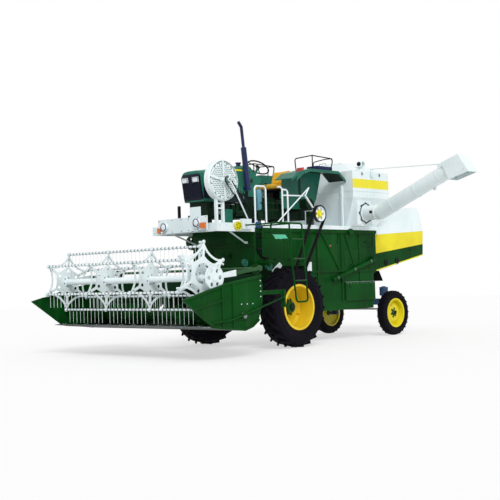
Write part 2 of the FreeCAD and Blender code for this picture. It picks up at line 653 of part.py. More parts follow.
# ---------------------------------------------------------------- tractor
def bonnet():
    """Engine cover: three cross-sections with rounded shoulders, under a nose that leans forward."""
    # x, half width, top
    stations = [(BONNET_FRONT + 20, 218, BONNET_FRONT_TOP - 4), (BONNET_FRONT - 100, 238, BONNET_FRONT_TOP + 10),
                (BONNET_REAR, BONNET_HALF_WIDTH + 14, BONNET_REAR_TOP)]
    wires = []
    for x, half, top in stations:
        # share of the half width, drop below the top
        side = [(1.0, top - BONNET_BOTTOM), (1.0, 105), (0.94, 52), (0.80, 20), (0.45, 3)]
        ring = [(half * share, top - drop) for share, drop in side]
        ring += [(-y, z) for y, z in reversed(ring)]
        points = [Vec(x, y, z) for y, z in ring]
        wires.append(Part.makePolygon(points + points[:1]))
    shell = Part.makeLoft(wires, True, True)
    outline = [(nose_x(BONNET_BOTTOM), BONNET_BOTTOM), (nose_x(2920), 2920),
               (nose_x(2920) - 12, BONNET_FRONT_TOP - 20), (BONNET_FRONT - 80, BONNET_FRONT_TOP + 60),
               (BONNET_REAR, BONNET_REAR_TOP + 30), (BONNET_REAR, BONNET_BOTTOM)]
    return shell.common(prism_y(outline, -400, 400))


def dash():
    """Instrument cowl with its two round gauges, and the steering column."""
    low = GEARBOX_TOP + SEAT_GAP
    cowl = prism_y([(BONNET_REAR - 5, low), (BONNET_REAR - 5, BONNET_REAR_TOP - 12), (20, 3120),
                    (-130, 2960), (-260, 2930), (-240, 2860), (-80, 2800), (-60, low)], -200, 200)
    x, z = STEERING_X, STEERING_Z
    column = rod((x + 15.3 * 0.53, 0, z - 15.3 * 0.848), (x + 300 * 0.53, 0, z - 300 * 0.848), 22)
    parts = [cowl, column]
    for gauge_x, gauge_z in ((90, 3010), (20, 2880)):
        parts.append(disc_y(gauge_x, gauge_z, 52, 195, 214, 44))
        parts.append(disc_y(gauge_x, gauge_z, 46, 195, 206))
    return fuse(parts)


def steering_wheel():
    """Rim, hub and three spokes on the column."""
    rim = Part.makeTorus(200, 13, Vec(0, 0, 0), Vec(0, 0, 1))
    parts = [rim, Part.makeCylinder(35, 30, Vec(0, 0, -15))]
    for index in range(3):
        angle = math.radians(90 + 120 * index)
        parts.append(rod((0, 0, 0), (195 * math.cos(angle), 195 * math.sin(angle), 0), 9))
    wheel = fuse(parts)
    wheel.rotate(Vec(0, 0, 0), Vec(0, 1, 0), -32)
    return wheel.translate(Vec(STEERING_X, 0, STEERING_Z))


def tractor_engine():
    """Crankcase, sump, radiator, gearbox, rear axle housing, front support and footsteps."""
    under = BONNET_BOTTOM - SEAT_GAP
    low = DECK_TOP
    parts = [
        block((200, 1000), (-150, 150), (low + 180, under)),
        block((260, 940), (-105, 105), (low + 110, low + 190)),
        block((1000, 1110), (-205, 205), (low + 140, under)),
        block((950, 1200), (-160, 160), (low, low + 170)),
        block((-1450, BONNET_REAR - 2), (-170, 170), (low + 130, GEARBOX_TOP)),
        block((100, 215), (-195, 195), (low + 140, under)),
        block((-900, -700), (-160, 160), (low, low + 140)),
    ]
    for side in (1, -1):
        parts.append(disc_y(-1150, 2480, 110, min(0, side * 560), max(0, side * 560)))
        for x in (-200, -560):
            y0, y1 = sorted((side * 165, side * 182))
            parts.append(block((x - 18, x + 18), (y0, y1), (low + 135, GEARBOX_TOP - 5)))
    # pump, starter, filters and manifold on the left flank
    parts += [
        block((560, 860), (145, 205), (low + 255, low + 350)),
        rod((215, 185, low + 215), (430, 185, low + 215), 50),
        Part.makeCylinder(42, 150, Vec(490, 190, low + 200)),
        Part.makeCylinder(42, 150, Vec(390, 190, low + 232)),
        rod((880, 175, low + 320), (1005, 175, low + 320), 58),
        block((240, 900), (140, 185), (under - 42, under)),
        disc_y(930, low + 240, 85, 100, 190),
    ]
    for x in (-300, 15):
        parts.append(block((x - 12, x + 12), (165, 530), (low + 262, low + 280)))
        parts.append(rod((x, 520, low + 255), (x, 520, low + 380), 10))
    for z in (low + 255, low + 380):
        parts.append(rod((-312, 520, z), (117, 520, z), 11))
    return fuse(parts)


def seat():
    """Driver's seat on its pedestal: cushion and backrest."""
    base = block((-1000, -500), (-220, 220), (2740, 2830))
    back = prism_y([(-1000, 2840), (-900, 2840), (-990, 3130), (-1060, 3130)], -215, 215)
    stand = block((-860, -680), (-90, 90), (GEARBOX_TOP + SEAT_GAP, 2750))
    return fuse([base, back, stand, block((-1000, -905), (-150, 150), (2820, 2850))])


def fender():
    """Left mudguard: inner wall, arched top and turned-down lip with its front notch."""
    arc = [(-390, 2900), (-560, 3010), (-900, FENDER_TOP), (-1700, FENDER_TOP), (-1900, 2940)]
    low = [(x, z - 14) for x, z in reversed(arc)]
    top = prism_y(arc + low, 400, 800)
    lip = prism_y(arc + [(x, z - 50) for x, z in reversed(arc)], 786, 800)
    front = prism_y([(-560, 3010), (-900, FENDER_TOP), (-900, FENDER_TOP - 50), (-700, 2985), (-520, 2850)],
                    786, 800)
    wall = prism_y([(-560, 3000), (-900, FENDER_TOP - 10), (-1650, FENDER_TOP - 10), (-1500, 2600),
                    (-1350, 2400), (-560, 2400)], 400, 414)
    wall = wall.cut(disc_y(-1150, 2480, 110 + SEAT_GAP, 380, 430))
    rib = prism_y([(-1010, 3080), (-1050, 3080), (-1050, 2420), (-1010, 2420)], 412, 426)
    rib = rib.cut(disc_y(-1150, 2480, 110 + SEAT_GAP, 380, 430))
    return fuse([top, lip, front, wall, rib])


def fender_rails():
    """Black tube guard over each mudguard, with a smaller armrest hoop inside it."""
    y = 720
    top = FENDER_TOP + SEAT_GAP
    hoop = bent_rail([(-600, y, 3024.5), (-570, y, 3250), (-1050, y, 3345), (-1640, y, 3320),
                      (-1560, y, top + 3.5)], 10, 50)
    arm = bent_rail([(-1265, 560, top + 1), (-1270, 560, 3250), (-1420, y, 3300), (-1620, y, 3322)], 9, 40)
    return both_sides(fuse([hoop, rod((-1050, y, 3340), (-1050, y, top), 10), arm]))


def exhaust():
    """Stack: silencer, thin tail pipe and bent tip, with the air cleaner's cap on the bonnet."""
    y = EXHAUST_Y
    silencer = rod((262, y, 2700), (345, y, 3420), 48)
    collar = rod((255, y, 2685), (262, y, 2745), 54)
    pipe = bent_rail([(344, y, 3410), (385, y, 3770), (455, y, 3850)], 27, 60)
    foot = rod((275, y, 2740), (275, BONNET_HALF_WIDTH - 10, 2740), 27)
    clear = bonnet()
    stack = fuse([silencer, collar, pipe, foot]).cut(clear.copy().translate(Vec(0, SEAT_GAP, 0)))
    cap = fuse([Part.makeCylinder(38, 90, Vec(270, 150, 3080)), Part.makeCylinder(50, 22, Vec(270, 150, 3165))])
    return Part.makeCompound([stack, cap.cut(clear.copy().translate(Vec(0, 0, SEAT_GAP)))])


def grille():
    """Dark slatted nose and the mesh panels on both cheeks."""
    slab = nose_slab(2530, 2895, SEAT_GAP, 12, -205, 205)
    slats = [nose_slab(2545, 2785, 11, 19, y - 5, y + 5) for y in range(-180, 181, 40)]
    nose = fuse([slab] + slats)
    cheek = prism_z([(1195, 225), (745, 250), (745, 270), (1160, 246.5), (1195, 240.5)], 2530, 2870)
    cheek = cheek.cut(bonnet().translate(Vec(0, SEAT_GAP, 0)))
    return Part.makeCompound([nose, cheek, mirrored(cheek)])


node("tractor_bonnet", bonnet())
node("tractor_grille", grille())
node("tractor_engine", tractor_engine())
node("dash", dash())
node("steering_wheel", steering_wheel())
node("seat", seat())
node("fenders", both_sides(fender()))
node("fender_rails", fender_rails())
node("exhaust", exhaust())


# ---------------------------------------------------------------- cooling screen and drive
def screen_drum():
    """Round shroud beside the bonnet on two legs, with four spokes, the shaft's bearing and its strut."""
    y0 = SCREEN_Y - SCREEN_DEPTH / 2
    y1 = SCREEN_Y + SCREEN_DEPTH / 2
    r = SCREEN_RADIUS
    shroud = spin_y([(r - 14, y0), (r, y0), (r, y1 - 25), (r - 12, y1), (r - 20, y1), (r - 20, y1 - 6),
                     (r - 14, y1 - 12)], SCREEN_X, SCREEN_Z)
    duct = disc_y(SCREEN_X, SCREEN_Z, SCREEN_RADIUS - 5, y0, y0 + 14)
    parts = [shroud, duct]
    for angle in (88, 12, 266, 190):
        spoke = block((SCREEN_X, SCREEN_X + SCREEN_RADIUS - 17), (y1 - 10, y1), (SCREEN_Z - 14, SCREEN_Z + 14))
        parts.append(spoke.rotate(Vec(SCREEN_X, 0, SCREEN_Z), Vec(0, 1, 0), -angle))
    parts.append(disc_y(SCREEN_X, SCREEN_Z, 50, y1 - 12, y1 + 60))
    for x in (SCREEN_X - 10, SCREEN_X + 140):
        parts.append(block((x - 22, x + 22), (SCREEN_Y - 22, SCREEN_Y + 22), (DECK_TOP, SCREEN_Z - r + 45)))
    for z in (SCREEN_Z - 390, SCREEN_Z - 470):
        parts.append(block((SCREEN_X - 10, SCREEN_X + 140), (SCREEN_Y - 12, SCREEN_Y + 12), (z, z + 24)))
    outer = HUB_PULLEY_Y + 42
    parts.append(disc_y(SCREEN_X, SCREEN_Z, 34, outer - 12, outer + 12))
    crown = SCREEN_Z + HUB_PULLEY_RADIUS + 30
    parts.append(block((SCREEN_X - 12, SCREEN_X + 12), (y1 - 5, outer + 8), (crown - 16, crown)))
    parts.append(block((SCREEN_X - 12, SCREEN_X + 12), (outer - 8, outer + 8), (SCREEN_Z + 26, crown)))
    parts.append(rod((SCREEN_X - 20, outer, SCREEN_Z - 20), (SCREEN_X - 440, outer, DECK_TOP + 16), 12))
    parts.append(block((SCREEN_X - 475, SCREEN_X - 415), (outer - 25, outer + 25), (DECK_TOP, DECK_TOP + 10)))
    drum = fuse(parts)
    return drum.cut(disc_y(SCREEN_X, SCREEN_Z, SCREEN_SHAFT + SEAT_GAP, y1 - 20, outer + 60))


def screen_rotor():
    """Turning screen disc behind the spokes, with its shaft and pulley."""
    y1 = SCREEN_Y + SCREEN_DEPTH / 2
    disc = disc_y(SCREEN_X, SCREEN_Z, SCREEN_RADIUS - 24, y1 - 24, y1 - 16)
    return fuse([disc, disc_y(SCREEN_X, SCREEN_Z, 45, y1 - 60, y1 - 18),
                 disc_y(SCREEN_X, SCREEN_Z, SCREEN_SHAFT, y1 - 40, HUB_PULLEY_Y + 46),
                 disc_y(SCREEN_X, SCREEN_Z, HUB_PULLEY_RADIUS, HUB_PULLEY_Y - 14, HUB_PULLEY_Y + 14)])


PULLEY_X = -1078
PULLEY_Z = DECK_TOP + 198
LOW_PULLEY_X = -395
LOW_PULLEY_Z = 1110
PULLEY_RADIUS = 148
LOW_PULLEY_RADIUS = 95
BELT = 10
HUB_PULLEY_RADIUS = 55
HUB_PULLEY_Y = SCREEN_Y + SCREEN_DEPTH / 2 + 90
DRIVE_X = 480
DRIVE_Z = DECK_TOP + 65
DRIVE_PULLEY_RADIUS = 46


def belt_loop(x0, z0, r0, x1, z1, r1, y0, y1, thick):
    """Open belt round two pulleys, of one thickness."""
    def band(grow):
        big = disc_y(x0, z0, r0 + grow, y0, y1)
        small = disc_y(x1, z1, r1 + grow, y0, y1)
        span = math.hypot(x1 - x0, z1 - z0)
        angle = math.atan2(z1 - z0, x1 - x0)
        lean = math.acos((r0 - r1) / span)
        points = []
        for x, z, r in ((x0, z0, r0), (x1, z1, r1)):
            for way in (1, -1):
                turn = angle + way * lean
                points.append((x + (r + grow) * math.cos(turn), z + (r + grow) * math.sin(turn)))
        hull = prism_y([points[0], points[1], points[3], points[2]], y0, y1)
        return big.multiFuse([small, hull]).removeSplitter()
    return band(thick).cut(band(0))


def belt_drive():
    """Upper belt pulley on its bracket, with the tensioner's arm, link and strut."""
    y = DECK_HALF_WIDTH - 8
    x, z = PULLEY_X, PULLEY_Z
    arm = rod((x, y - 9, z), (x + 328, y - 9, z + 332), 18)
    strut = rod((x + 1088, y, DECK_TOP + 14), (x + 218, y, z + 462), 12)
    link = rod((x + 218, y, z + 462), (x + 318, y, z + 322), 12)
    return fuse([
        grooved_pulley(x, z, PULLEY_RADIUS, PULLEY_Y - 30, PULLEY_Y + 30),
        disc_y(x, z, 45, 560, PULLEY_Y + 33),
        block((x - 60, x + 60), (560, 640), (DECK_TOP, z + 60)),
        arm, strut, link,
        block((x + 1058, x + 1118), (y - 25, y + 8), (DECK_TOP, DECK_TOP + 14)),
    ])


def deck_fittings():
    """Drive housing of the cooling screen, belt guide pulley, bracket and oil tank along the deck's left edge."""
    edge = DECK_HALF_WIDTH + SEAT_GAP
    low = DECK_TOP + SEAT_GAP
    housing = fuse([
        disc_y(DRIVE_X, DRIVE_Z, 42, HUB_PULLEY_Y - 150, HUB_PULLEY_Y - 14),
        disc_y(DRIVE_X, DRIVE_Z, DRIVE_PULLEY_RADIUS, HUB_PULLEY_Y - 16, HUB_PULLEY_Y + 16),
        disc_y(DRIVE_X, DRIVE_Z, 18, HUB_PULLEY_Y - 20, HUB_PULLEY_Y + 34),
        block((DRIVE_X - 50, DRIVE_X + 50), (HUB_PULLEY_Y - 140, HUB_PULLEY_Y - 40), (low, DRIVE_Z - 20)),
    ])
    guide = fuse([disc_y(1000, BODY_TOP + 20, 70, edge + 14, edge + 44),
                  disc_y(1000, BODY_TOP + 20, 24, edge, edge + 52)])
    bracket = prism_y([(800, low), (985, low), (985, 2240), (950, 2335), (800, 2335)], 470, 500)
    web = block((800, 985), (400, 475), (low, low + 12))
    tank = fuse([Part.makeCylinder(55, 390, Vec(100, 450, DECK_TOP + 105)),
                 Part.makeCylinder(30, 120, Vec(100, 450, low))])
    stub = block((880, 920), (-725, -685), (low, low + 380))
    return Part.makeCompound([housing, guide, fuse([bracket, web]), tank, stub])


node("screen_drum", screen_drum())
node("screen_rotor", screen_rotor())
node("belt_drive", belt_drive())
node("drum_pulley", fuse([
    disc_y(LOW_PULLEY_X, LOW_PULLEY_Z, LOW_PULLEY_RADIUS, PULLEY_Y - 30, PULLEY_Y + 30),
    disc_y(LOW_PULLEY_X, LOW_PULLEY_Z, 45, 440 + SEAT_GAP, PULLEY_Y + 33),
]))
node("drive_belt", Part.makeCompound([
    belt_loop(PULLEY_X, PULLEY_Z, PULLEY_RADIUS + SEAT_GAP, LOW_PULLEY_X, LOW_PULLEY_Z,
              LOW_PULLEY_RADIUS + SEAT_GAP, PULLEY_Y - 32, PULLEY_Y + 32, BELT),
    belt_loop(SCREEN_X, SCREEN_Z, HUB_PULLEY_RADIUS + SEAT_GAP, DRIVE_X, DRIVE_Z,
              DRIVE_PULLEY_RADIUS + SEAT_GAP, HUB_PULLEY_Y - 10, HUB_PULLEY_Y + 10, 8),
]))
node("deck_fittings", deck_fittings())


# ---------------------------------------------------------------- grain tank
def tank_levels():
    """Outer rectangles of the tank: z, x low, x high, half width."""
    return [(DECK_TOP, TANK_REAR + TANK_FOOT_INSET, TANK_FRONT - TANK_FOOT_INSET, TANK_FOOT_HALF_WIDTH),
            (TANK_KNUCKLE, TANK_REAR, TANK_FRONT, TANK_HALF_WIDTH),
            (TANK_WALL_TOP, TANK_REAR, TANK_FRONT, TANK_HALF_WIDTH)]


def frustum(low, high, inset=0):
    """Straight loft between two level rectangles."""
    wires = []
    for z, x0, x1, half in (low, high):
        corners = [Vec(x0 + inset, -half + inset, z), Vec(x1 - inset, -half + inset, z),
                   Vec(x1 - inset, half - inset, z), Vec(x0 + inset, half - inset, z)]
        wires.append(Part.makePolygon(corners + corners[:1]))
    return Part.makeLoft(wires, True, True)


def grain_tank():
    """White hopper: sloped foot and upright walls, open at the top, with its seam and two front posts."""
    foot, knuckle_ring, top = tank_levels()
    outer = fuse([frustum(foot, knuckle_ring), frustum(knuckle_ring, top)])
    raised = (foot[0] + TANK_SHEET,) + foot[1:]
    above = (top[0] + 1,) + top[1:]
    inner = fuse([frustum(raised, knuckle_ring, TANK_SHEET), frustum(knuckle_ring, above, TANK_SHEET)])
    y, z = OUTLET_FACE + 10, STAY_END_Z - 20
    bracket = block((HINGE_X - 25, HINGE_X + 25), (TANK_HALF_WIDTH - 5, y + 25), (z - 10, z + 4))
    stand = rod((HINGE_X, y, z), (HINGE_X, y, STAY_EYE_Z - SEAT_GAP), 15)
    pin = rod((HINGE_X, y, z), (HINGE_X, y, STAY_EYE_Z + 22), 10)
    seam = block((TANK_REAR - 5, TANK_FRONT + 5), (-TANK_HALF_WIDTH - 5, TANK_HALF_WIDTH + 5),
                 (TANK_KNUCKLE + 106, TANK_KNUCKLE + 114))
    post = block((TANK_FRONT - 2, TANK_FRONT + 38), (TANK_FOOT_HALF_WIDTH - 20, TANK_FOOT_HALF_WIDTH + 20),
                 (DECK_TOP, TANK_KNUCKLE + 240))
    return fuse([outer, seam, post, mirrored(post)]).cut(inner).fuse(fuse([bracket, stand, pin]))


def tank_roof():
    """Hipped roof with a hatch, and the lid's hinge pin on its two lugs."""
    z = TANK_WALL_TOP + SEAT_GAP
    low = (z, TANK_REAR, TANK_FRONT, TANK_HALF_WIDTH)
    high = (TANK_ROOF_TOP, TANK_REAR + 330, TANK_FRONT - 260, 520)
    outer = frustum(low, high)
    inner = frustum((z - 1,) + low[1:], (TANK_ROOF_TOP - TANK_SHEET,) + high[1:], TANK_SHEET)
    roof = outer.cut(inner)
    hatch = block((TANK_REAR + 380, TANK_FRONT - 310), (-440, 440), (TANK_ROOF_TOP - 60, TANK_ROOF_TOP + 20))
    parts = [roof.cut(hatch)]
    for side in (1, -1):
        y = side * 330
        parts.append(disc_y(LID_HINGE_X, LID_HINGE_Z, 11, y - 14, y + 14))
        parts.append(block((LID_HINGE_X - 9, LID_HINGE_X + 9), (y - 14, y + 14),
                           (TANK_ROOF_TOP - 10, LID_HINGE_Z)))
    parts.append(disc_y(LID_HINGE_X, LID_HINGE_Z, 6, -340, 340))
    parts.append(disc_y(VENT_X, VENT_Z, 60, 735, 840).cut(disc_y(VENT_X, VENT_Z, 48, 760, 841)))
    parts.append(Part.makeCylinder(30, 60, Vec(VENT_X, 780, VENT_Z - 105)))
    return fuse(parts)


def tank_lid():
    """Hatch cover with a turned-down rim line, its handle and the hinge barrels it swings on."""
    z = TANK_ROOF_TOP + SEAT_GAP
    x0, x1 = TANK_REAR + 350, TANK_FRONT - 280
    plate = block((x0, x1), (-480, 480), (z, z + 8))
    raised = block((x0 + 40, x1 - 40), (-440, 440), (z, z + 22))
    parts = [plate, raised]
    for side in (1, -1):
        y = side * 270
        parts.append(disc_y(LID_HINGE_X, LID_HINGE_Z, 11, y - 40, y + 40))
        parts.append(block((LID_HINGE_X, x0 + 60), (y - 30, y + 30), (z + 4, z + 14)))
    lid = fuse(parts)
    return lid.cut(disc_y(LID_HINGE_X, LID_HINGE_Z, 6 + SEAT_GAP, -350, 350))


node("tank_hopper", grain_tank())
node("tank_roof", tank_roof())
node("tank_lid", tank_lid())


# ---------------------------------------------------------------- unloading auger
def slope_y(z, gap):
    """Half width of the tank's sloped foot at a height, plus a gap."""
    share = (z - DECK_TOP) / (TANK_KNUCKLE - DECK_TOP)
    return TANK_FOOT_HALF_WIDTH + share * (TANK_HALF_WIDTH - TANK_FOOT_HALF_WIDTH) + gap


def auger_boot():
    """White box on the tank's left foot that the unloading auger starts from."""
    low = DECK_TOP + SEAT_GAP
    high = TANK_KNUCKLE - 60
    face = OUTLET_FACE - 20
    outline = [(slope_y(low, 1), low), (face, low), (face, high), (slope_y(high, 1), high)]
    box = prism_x(outline, OUTLET_X - 230, OUTLET_X + 235)
    ring = disc_y(OUTLET_X, OUTLET_Z, FLANGE_RADIUS, face - 1, OUTLET_FACE)
    y = OUTLET_FACE + 10
    hinge = rod((HINGE_X, y, OUTLET_Z - 120), (HINGE_X, y, OUTLET_Z + 60), 14)
    arm = block((HINGE_X - 20, HINGE_X + 80), (face - 5, OUTLET_FACE - 2), (OUTLET_Z - 120, OUTLET_Z - 60))
    seat_block = block((HINGE_X - 20, HINGE_X + 20), (face - 5, y + 16), (OUTLET_Z - 120, OUTLET_Z - 60))
    cover = block((OUTLET_X + 120, OUTLET_X + 225), (face - 5, face + 14), (low + 30, high - 60))
    return fuse([box, ring, hinge, arm, seat_block, cover])


def auger_tube():
    """Outlet neck with its clamp ring, mitred elbow, rising tube and the flared spout."""
    rise = math.radians(AUGER_RISE_DEG)
    neck_end = OUTLET_FACE + AUGER_NECK
    start = Vec(OUTLET_X, OUTLET_FACE + 2, OUTLET_Z)
    corner = Vec(OUTLET_X, neck_end, OUTLET_Z)
    way = Vec(0, math.cos(rise), math.sin(rise))

    def tube(radius, extra):
        neck = Part.makeCylinder(radius, neck_end - start.y + extra, start - Vec(0, extra, 0), Vec(0, 1, 0))
        long = Part.makeCylinder(radius, AUGER_REACH + extra, corner, way)
        knee = Part.makeSphere(radius, corner)
        return neck.multiFuse([long, knee])
    ring = disc_y(OUTLET_X, OUTLET_Z, AUGER_RADIUS + 12, neck_end - 95, neck_end - 79)
    pipe = tube(AUGER_RADIUS, 0).fuse(ring).cut(tube(AUGER_RADIUS - AUGER_SHEET, 2))
    flange = disc_y(OUTLET_X, OUTLET_Z, FLANGE_RADIUS, OUTLET_FACE + 2, OUTLET_FACE + 14, AUGER_RADIUS - 1)
    y, z = OUTLET_FACE, OUTLET_Z
    # spout outline in (y, z): back low, back high, outer high, outer low
    outline = [(y + 1895, z + 445), (y + 1755, z + 750), (y + 2085, z + 865), (y + 2285, z + 555)]
    half = 150
    spout = prism_x(outline, OUTLET_X - half, OUTLET_X + half)
    hollow = prism_x([(y + 1907, z + 425), (y + 1770, z + 735), (y + 2078, z + 849), (y + 2285, z + 525)],
                     OUTLET_X - half + 10, OUTLET_X + half - 10)
    bore = Part.makeCylinder(AUGER_RADIUS - AUGER_SHEET, AUGER_REACH, corner, way)
    spout = spout.cut(hollow).cut(bore)
    lug = block((HINGE_X - 16, HINGE_X + 60), (y + 2, y + 28), (z - 40, z + 40))
    lug = lug.cut(rod((HINGE_X, y + 10, z - 60), (HINGE_X, y + 10, z + 60), 14 + SEAT_GAP))
    ear = block((OUTLET_X - 15, OUTLET_X + 15), (STAY_END_Y - 40, STAY_END_Y + 60), (STAY_END_Z - 60, STAY_END_Z))
    hook = block((OUTLET_X - 8, OUTLET_X + 8), (y + 1490, y + 1550), (z + 300, z + 395))
    return fuse([pipe, flange, spout, lug, ear, hook.cut(bore)])


def auger_stay():
    """Steel stay from a pin on the tank, in line with the hinge, to an ear on the tube."""
    y = OUTLET_FACE + 10
    z = STAY_EYE_Z
    eye = Part.makeCylinder(20, 16, Vec(HINGE_X, y, z))
    bar = rod((HINGE_X, y, z + 8), (OUTLET_X, STAY_END_Y, STAY_END_Z + 12), 8)
    foot = block((OUTLET_X - 15, OUTLET_X + 15), (STAY_END_Y - 30, STAY_END_Y + 40),
                 (STAY_END_Z, STAY_END_Z + 16))
    stay = fuse([eye, bar, foot])
    stay = stay.cut(Part.makeCylinder(10 + SEAT_GAP, 60, Vec(HINGE_X, y, z - 14)))
    return stay.cut(Part.makeCylinder(19, 14, Vec(HINGE_X, y, z - 14)))


node("auger_boot", auger_boot())
node("auger_tube", auger_tube())
node("auger_stay", auger_stay())


# ---------------------------------------------------------------- straw hood
def straw_hood(name):
    """One band of the hollow rear hood, open underneath: upper, band or lower."""
    front = BODY_REAR - SEAT_GAP
    rear = HOOD_REAR
    top = BODY_TOP
    t = HOOD_SHEET
    outline = [(front, 1250), (front, top - SEAT_GAP), (DECK_REAR - 5, top - SEAT_GAP),
               (rear + 600, top + 480), (rear + 200, top + 490), (rear + 90, top + 350), (rear - 10, top + 30),
               (rear + 20, top - 490), (front - 220, 1250)]
    inner = [(front + 5, 1200), (front + 5, top - 13), (DECK_REAR - 8, top - 13), (rear + 597, top + 480 - t),
             (rear + 206, top + 490 - t), (rear + 90 + t, top + 344), (rear + t, top + 30),
             (rear + 21 + t, top - 520), (front - 220, 1200)]
    w = HOOD_HALF_WIDTH
    shell = prism_y(outline, -w, w).cut(prism_y(inner, -w + t, w - t))
    over = [(-2000, top - 125), (rear - 200, top + 35), (rear - 200, 3000), (-2000, 3000)]
    under = [(-2000, top - 550), (rear - 200, top - 220), (rear - 200, 1000), (-2000, 1000)]
    if name == "upper":
        return shell.common(prism_y(over, -w - 5, w + 5))
    if name == "lower":
        return shell.common(prism_y(under, -w - 5, w + 5))
    return shell.cut([prism_y(over, -w - 5, w + 5), prism_y(under, -w - 5, w + 5)])


for band in ("upper", "band", "lower"):
    node("hood_" + band, straw_hood(band))


# ---------------------------------------------------------------- header
def header_pan():
    """Crop pan: trough round the auger, rising floor, back wall and ribbed side sheets."""
    w = HEADER_HALF_WIDTH
    r = TROUGH_RADIUS
    steps = 8

    def arc(radius):
        return [(TROUGH_X + radius * math.cos(math.radians(a)), TROUGH_Z + radius * math.sin(math.radians(a)))
                for a in [180 + 110 * i / steps for i in range(steps + 1)]]
    inside = arc(r)
    outside = arc(r + PAN_SHEET)
    lip_in = (CUTTER_X, CUTTER_Z)
    lip_out = (CUTTER_X, CUTTER_Z - PAN_SHEET)
    back = HEADER_BACK
    upper = [(back + PAN_SHEET, HEADER_TOP), (back + PAN_SHEET, TROUGH_Z + 180), (TROUGH_X - r, TROUGH_Z + 60)]
    upper_out = [(back, HEADER_TOP), (back, TROUGH_Z + 178), (TROUGH_X - r - PAN_SHEET, TROUGH_Z + 56)]
    sheet = prism_y(upper + inside + [lip_in, lip_out] + outside[::-1] + upper_out[::-1],
                    -w + SIDE_SHEET, w - SIDE_SHEET)
    mouth = block((HEADER_BACK - 20, TROUGH_X - 100), (-FEEDER_HALF_WIDTH + 20, FEEDER_HALF_WIDTH - 20),
                  (TROUGH_Z - 60, TROUGH_Z + 380))
    sheet = sheet.cut(mouth)
    beam = block((HEADER_BACK - 60, HEADER_BACK), (-w + 110, w - 110), (HEADER_TOP - 60, HEADER_TOP))
    low_edge = [(2620, CUTTER_Z - 20), (2500, CUTTER_Z - 40), (2180, 432), (1970, 405), (1800, 450), (1660, 540)]
    rear_edge = [(1566, 800), (1556, 900), (1556, 1070), (1600, 1227)]
    side_outline = [(3210, 905)] + low_edge + rear_edge + [(2330, 1120)]
    side = prism_y(side_outline, w - SIDE_SHEET, w)
    side = side.cut(disc_y(TROUGH_X, TROUGH_Z, 30 + SEAT_GAP, w - 100, w + 100))
    reach = 22
    crest = prism_y([(3210, 905), (3180, 880), (2330, 1085), (1590, 1190), (1600, 1227), (2330, 1120)],
                    w, w + reach)
    hem = prism_y(low_edge + [(x - 6, z + 26) for x, z in reversed(low_edge)], w, w + reach)
    bow = prism_y([(3180, 880), (2640, 505), (2610, 525), (3130, 893)], w, w + reach)
    ribs = [prism_y([(2955, 752), (2955, 782), (2410, 886), (2410, 858)], w, w + reach - 4)]
    for x, low, high in SIDE_RIBS:
        ribs.append(block((x - 12, x + 12), (w, w + reach - 4), (low, high)))
    out = w + reach + 10
    rail = bent_rail([(2647, out, 560), (2301, out, 573), (2029, out, 632), (1625, out, 742),
                      (1100, out, 878)], 13, 120)
    rail_feet = [block((x - 16, x + 16), (w - 2, out + 4), (z - 16, z + 16))
                 for x, z in ((2480, 566), (1700, 722))]
    bracket = fuse([block((1080, 1110), (w - 4, out + 12), (720, 990)),
                    block((1080, 1600), (w - SIDE_SHEET, w - 2), (925, 990)),
                    block((1080, 1130), (w - SIDE_SHEET, w), (720, 990))])
    bearing = disc_y(TROUGH_X, TROUGH_Z, 62, w, w + reach, 30 + SEAT_GAP)
    parts = [sheet, beam]
    for piece in [side, crest, hem, bow, rail, bracket, bearing] + ribs + rail_feet:
        parts += [piece, mirrored(piece)]
    return fuse(parts)


def cutter_bar():
    """Knife bar with its guard fingers."""
    w = HEADER_HALF_WIDTH - SIDE_SHEET - SEAT_GAP
    bar = block((CUTTER_X + SEAT_GAP, CUTTER_X + 50), (-w, w), (CUTTER_Z - 14, CUTTER_Z + 6))
    count = int((2 * w - 40) / FINGER_PITCH)
    z = CUTTER_Z - 4
    x = CUTTER_X + 40
    fingers = []
    for index in range(count + 1):
        y = (index - count / 2) * FINGER_PITCH
        root = Part.makePolygon([Vec(x, y - 14, z - 10), Vec(x, y + 14, z - 10), Vec(x, y + 14, z + 10),
                                 Vec(x, y - 14, z + 10), Vec(x, y - 14, z - 10)])
        nose = x + FINGER_LENGTH
        point = Part.makePolygon([Vec(nose, y - 3, z), Vec(nose, y + 3, z), Vec(nose, y + 3, z + 5),
                                  Vec(nose, y - 3, z + 5), Vec(nose, y - 3, z)])
        fingers.append(Part.makeLoft([root, point], True, True))
    return bar.multiFuse(fingers)


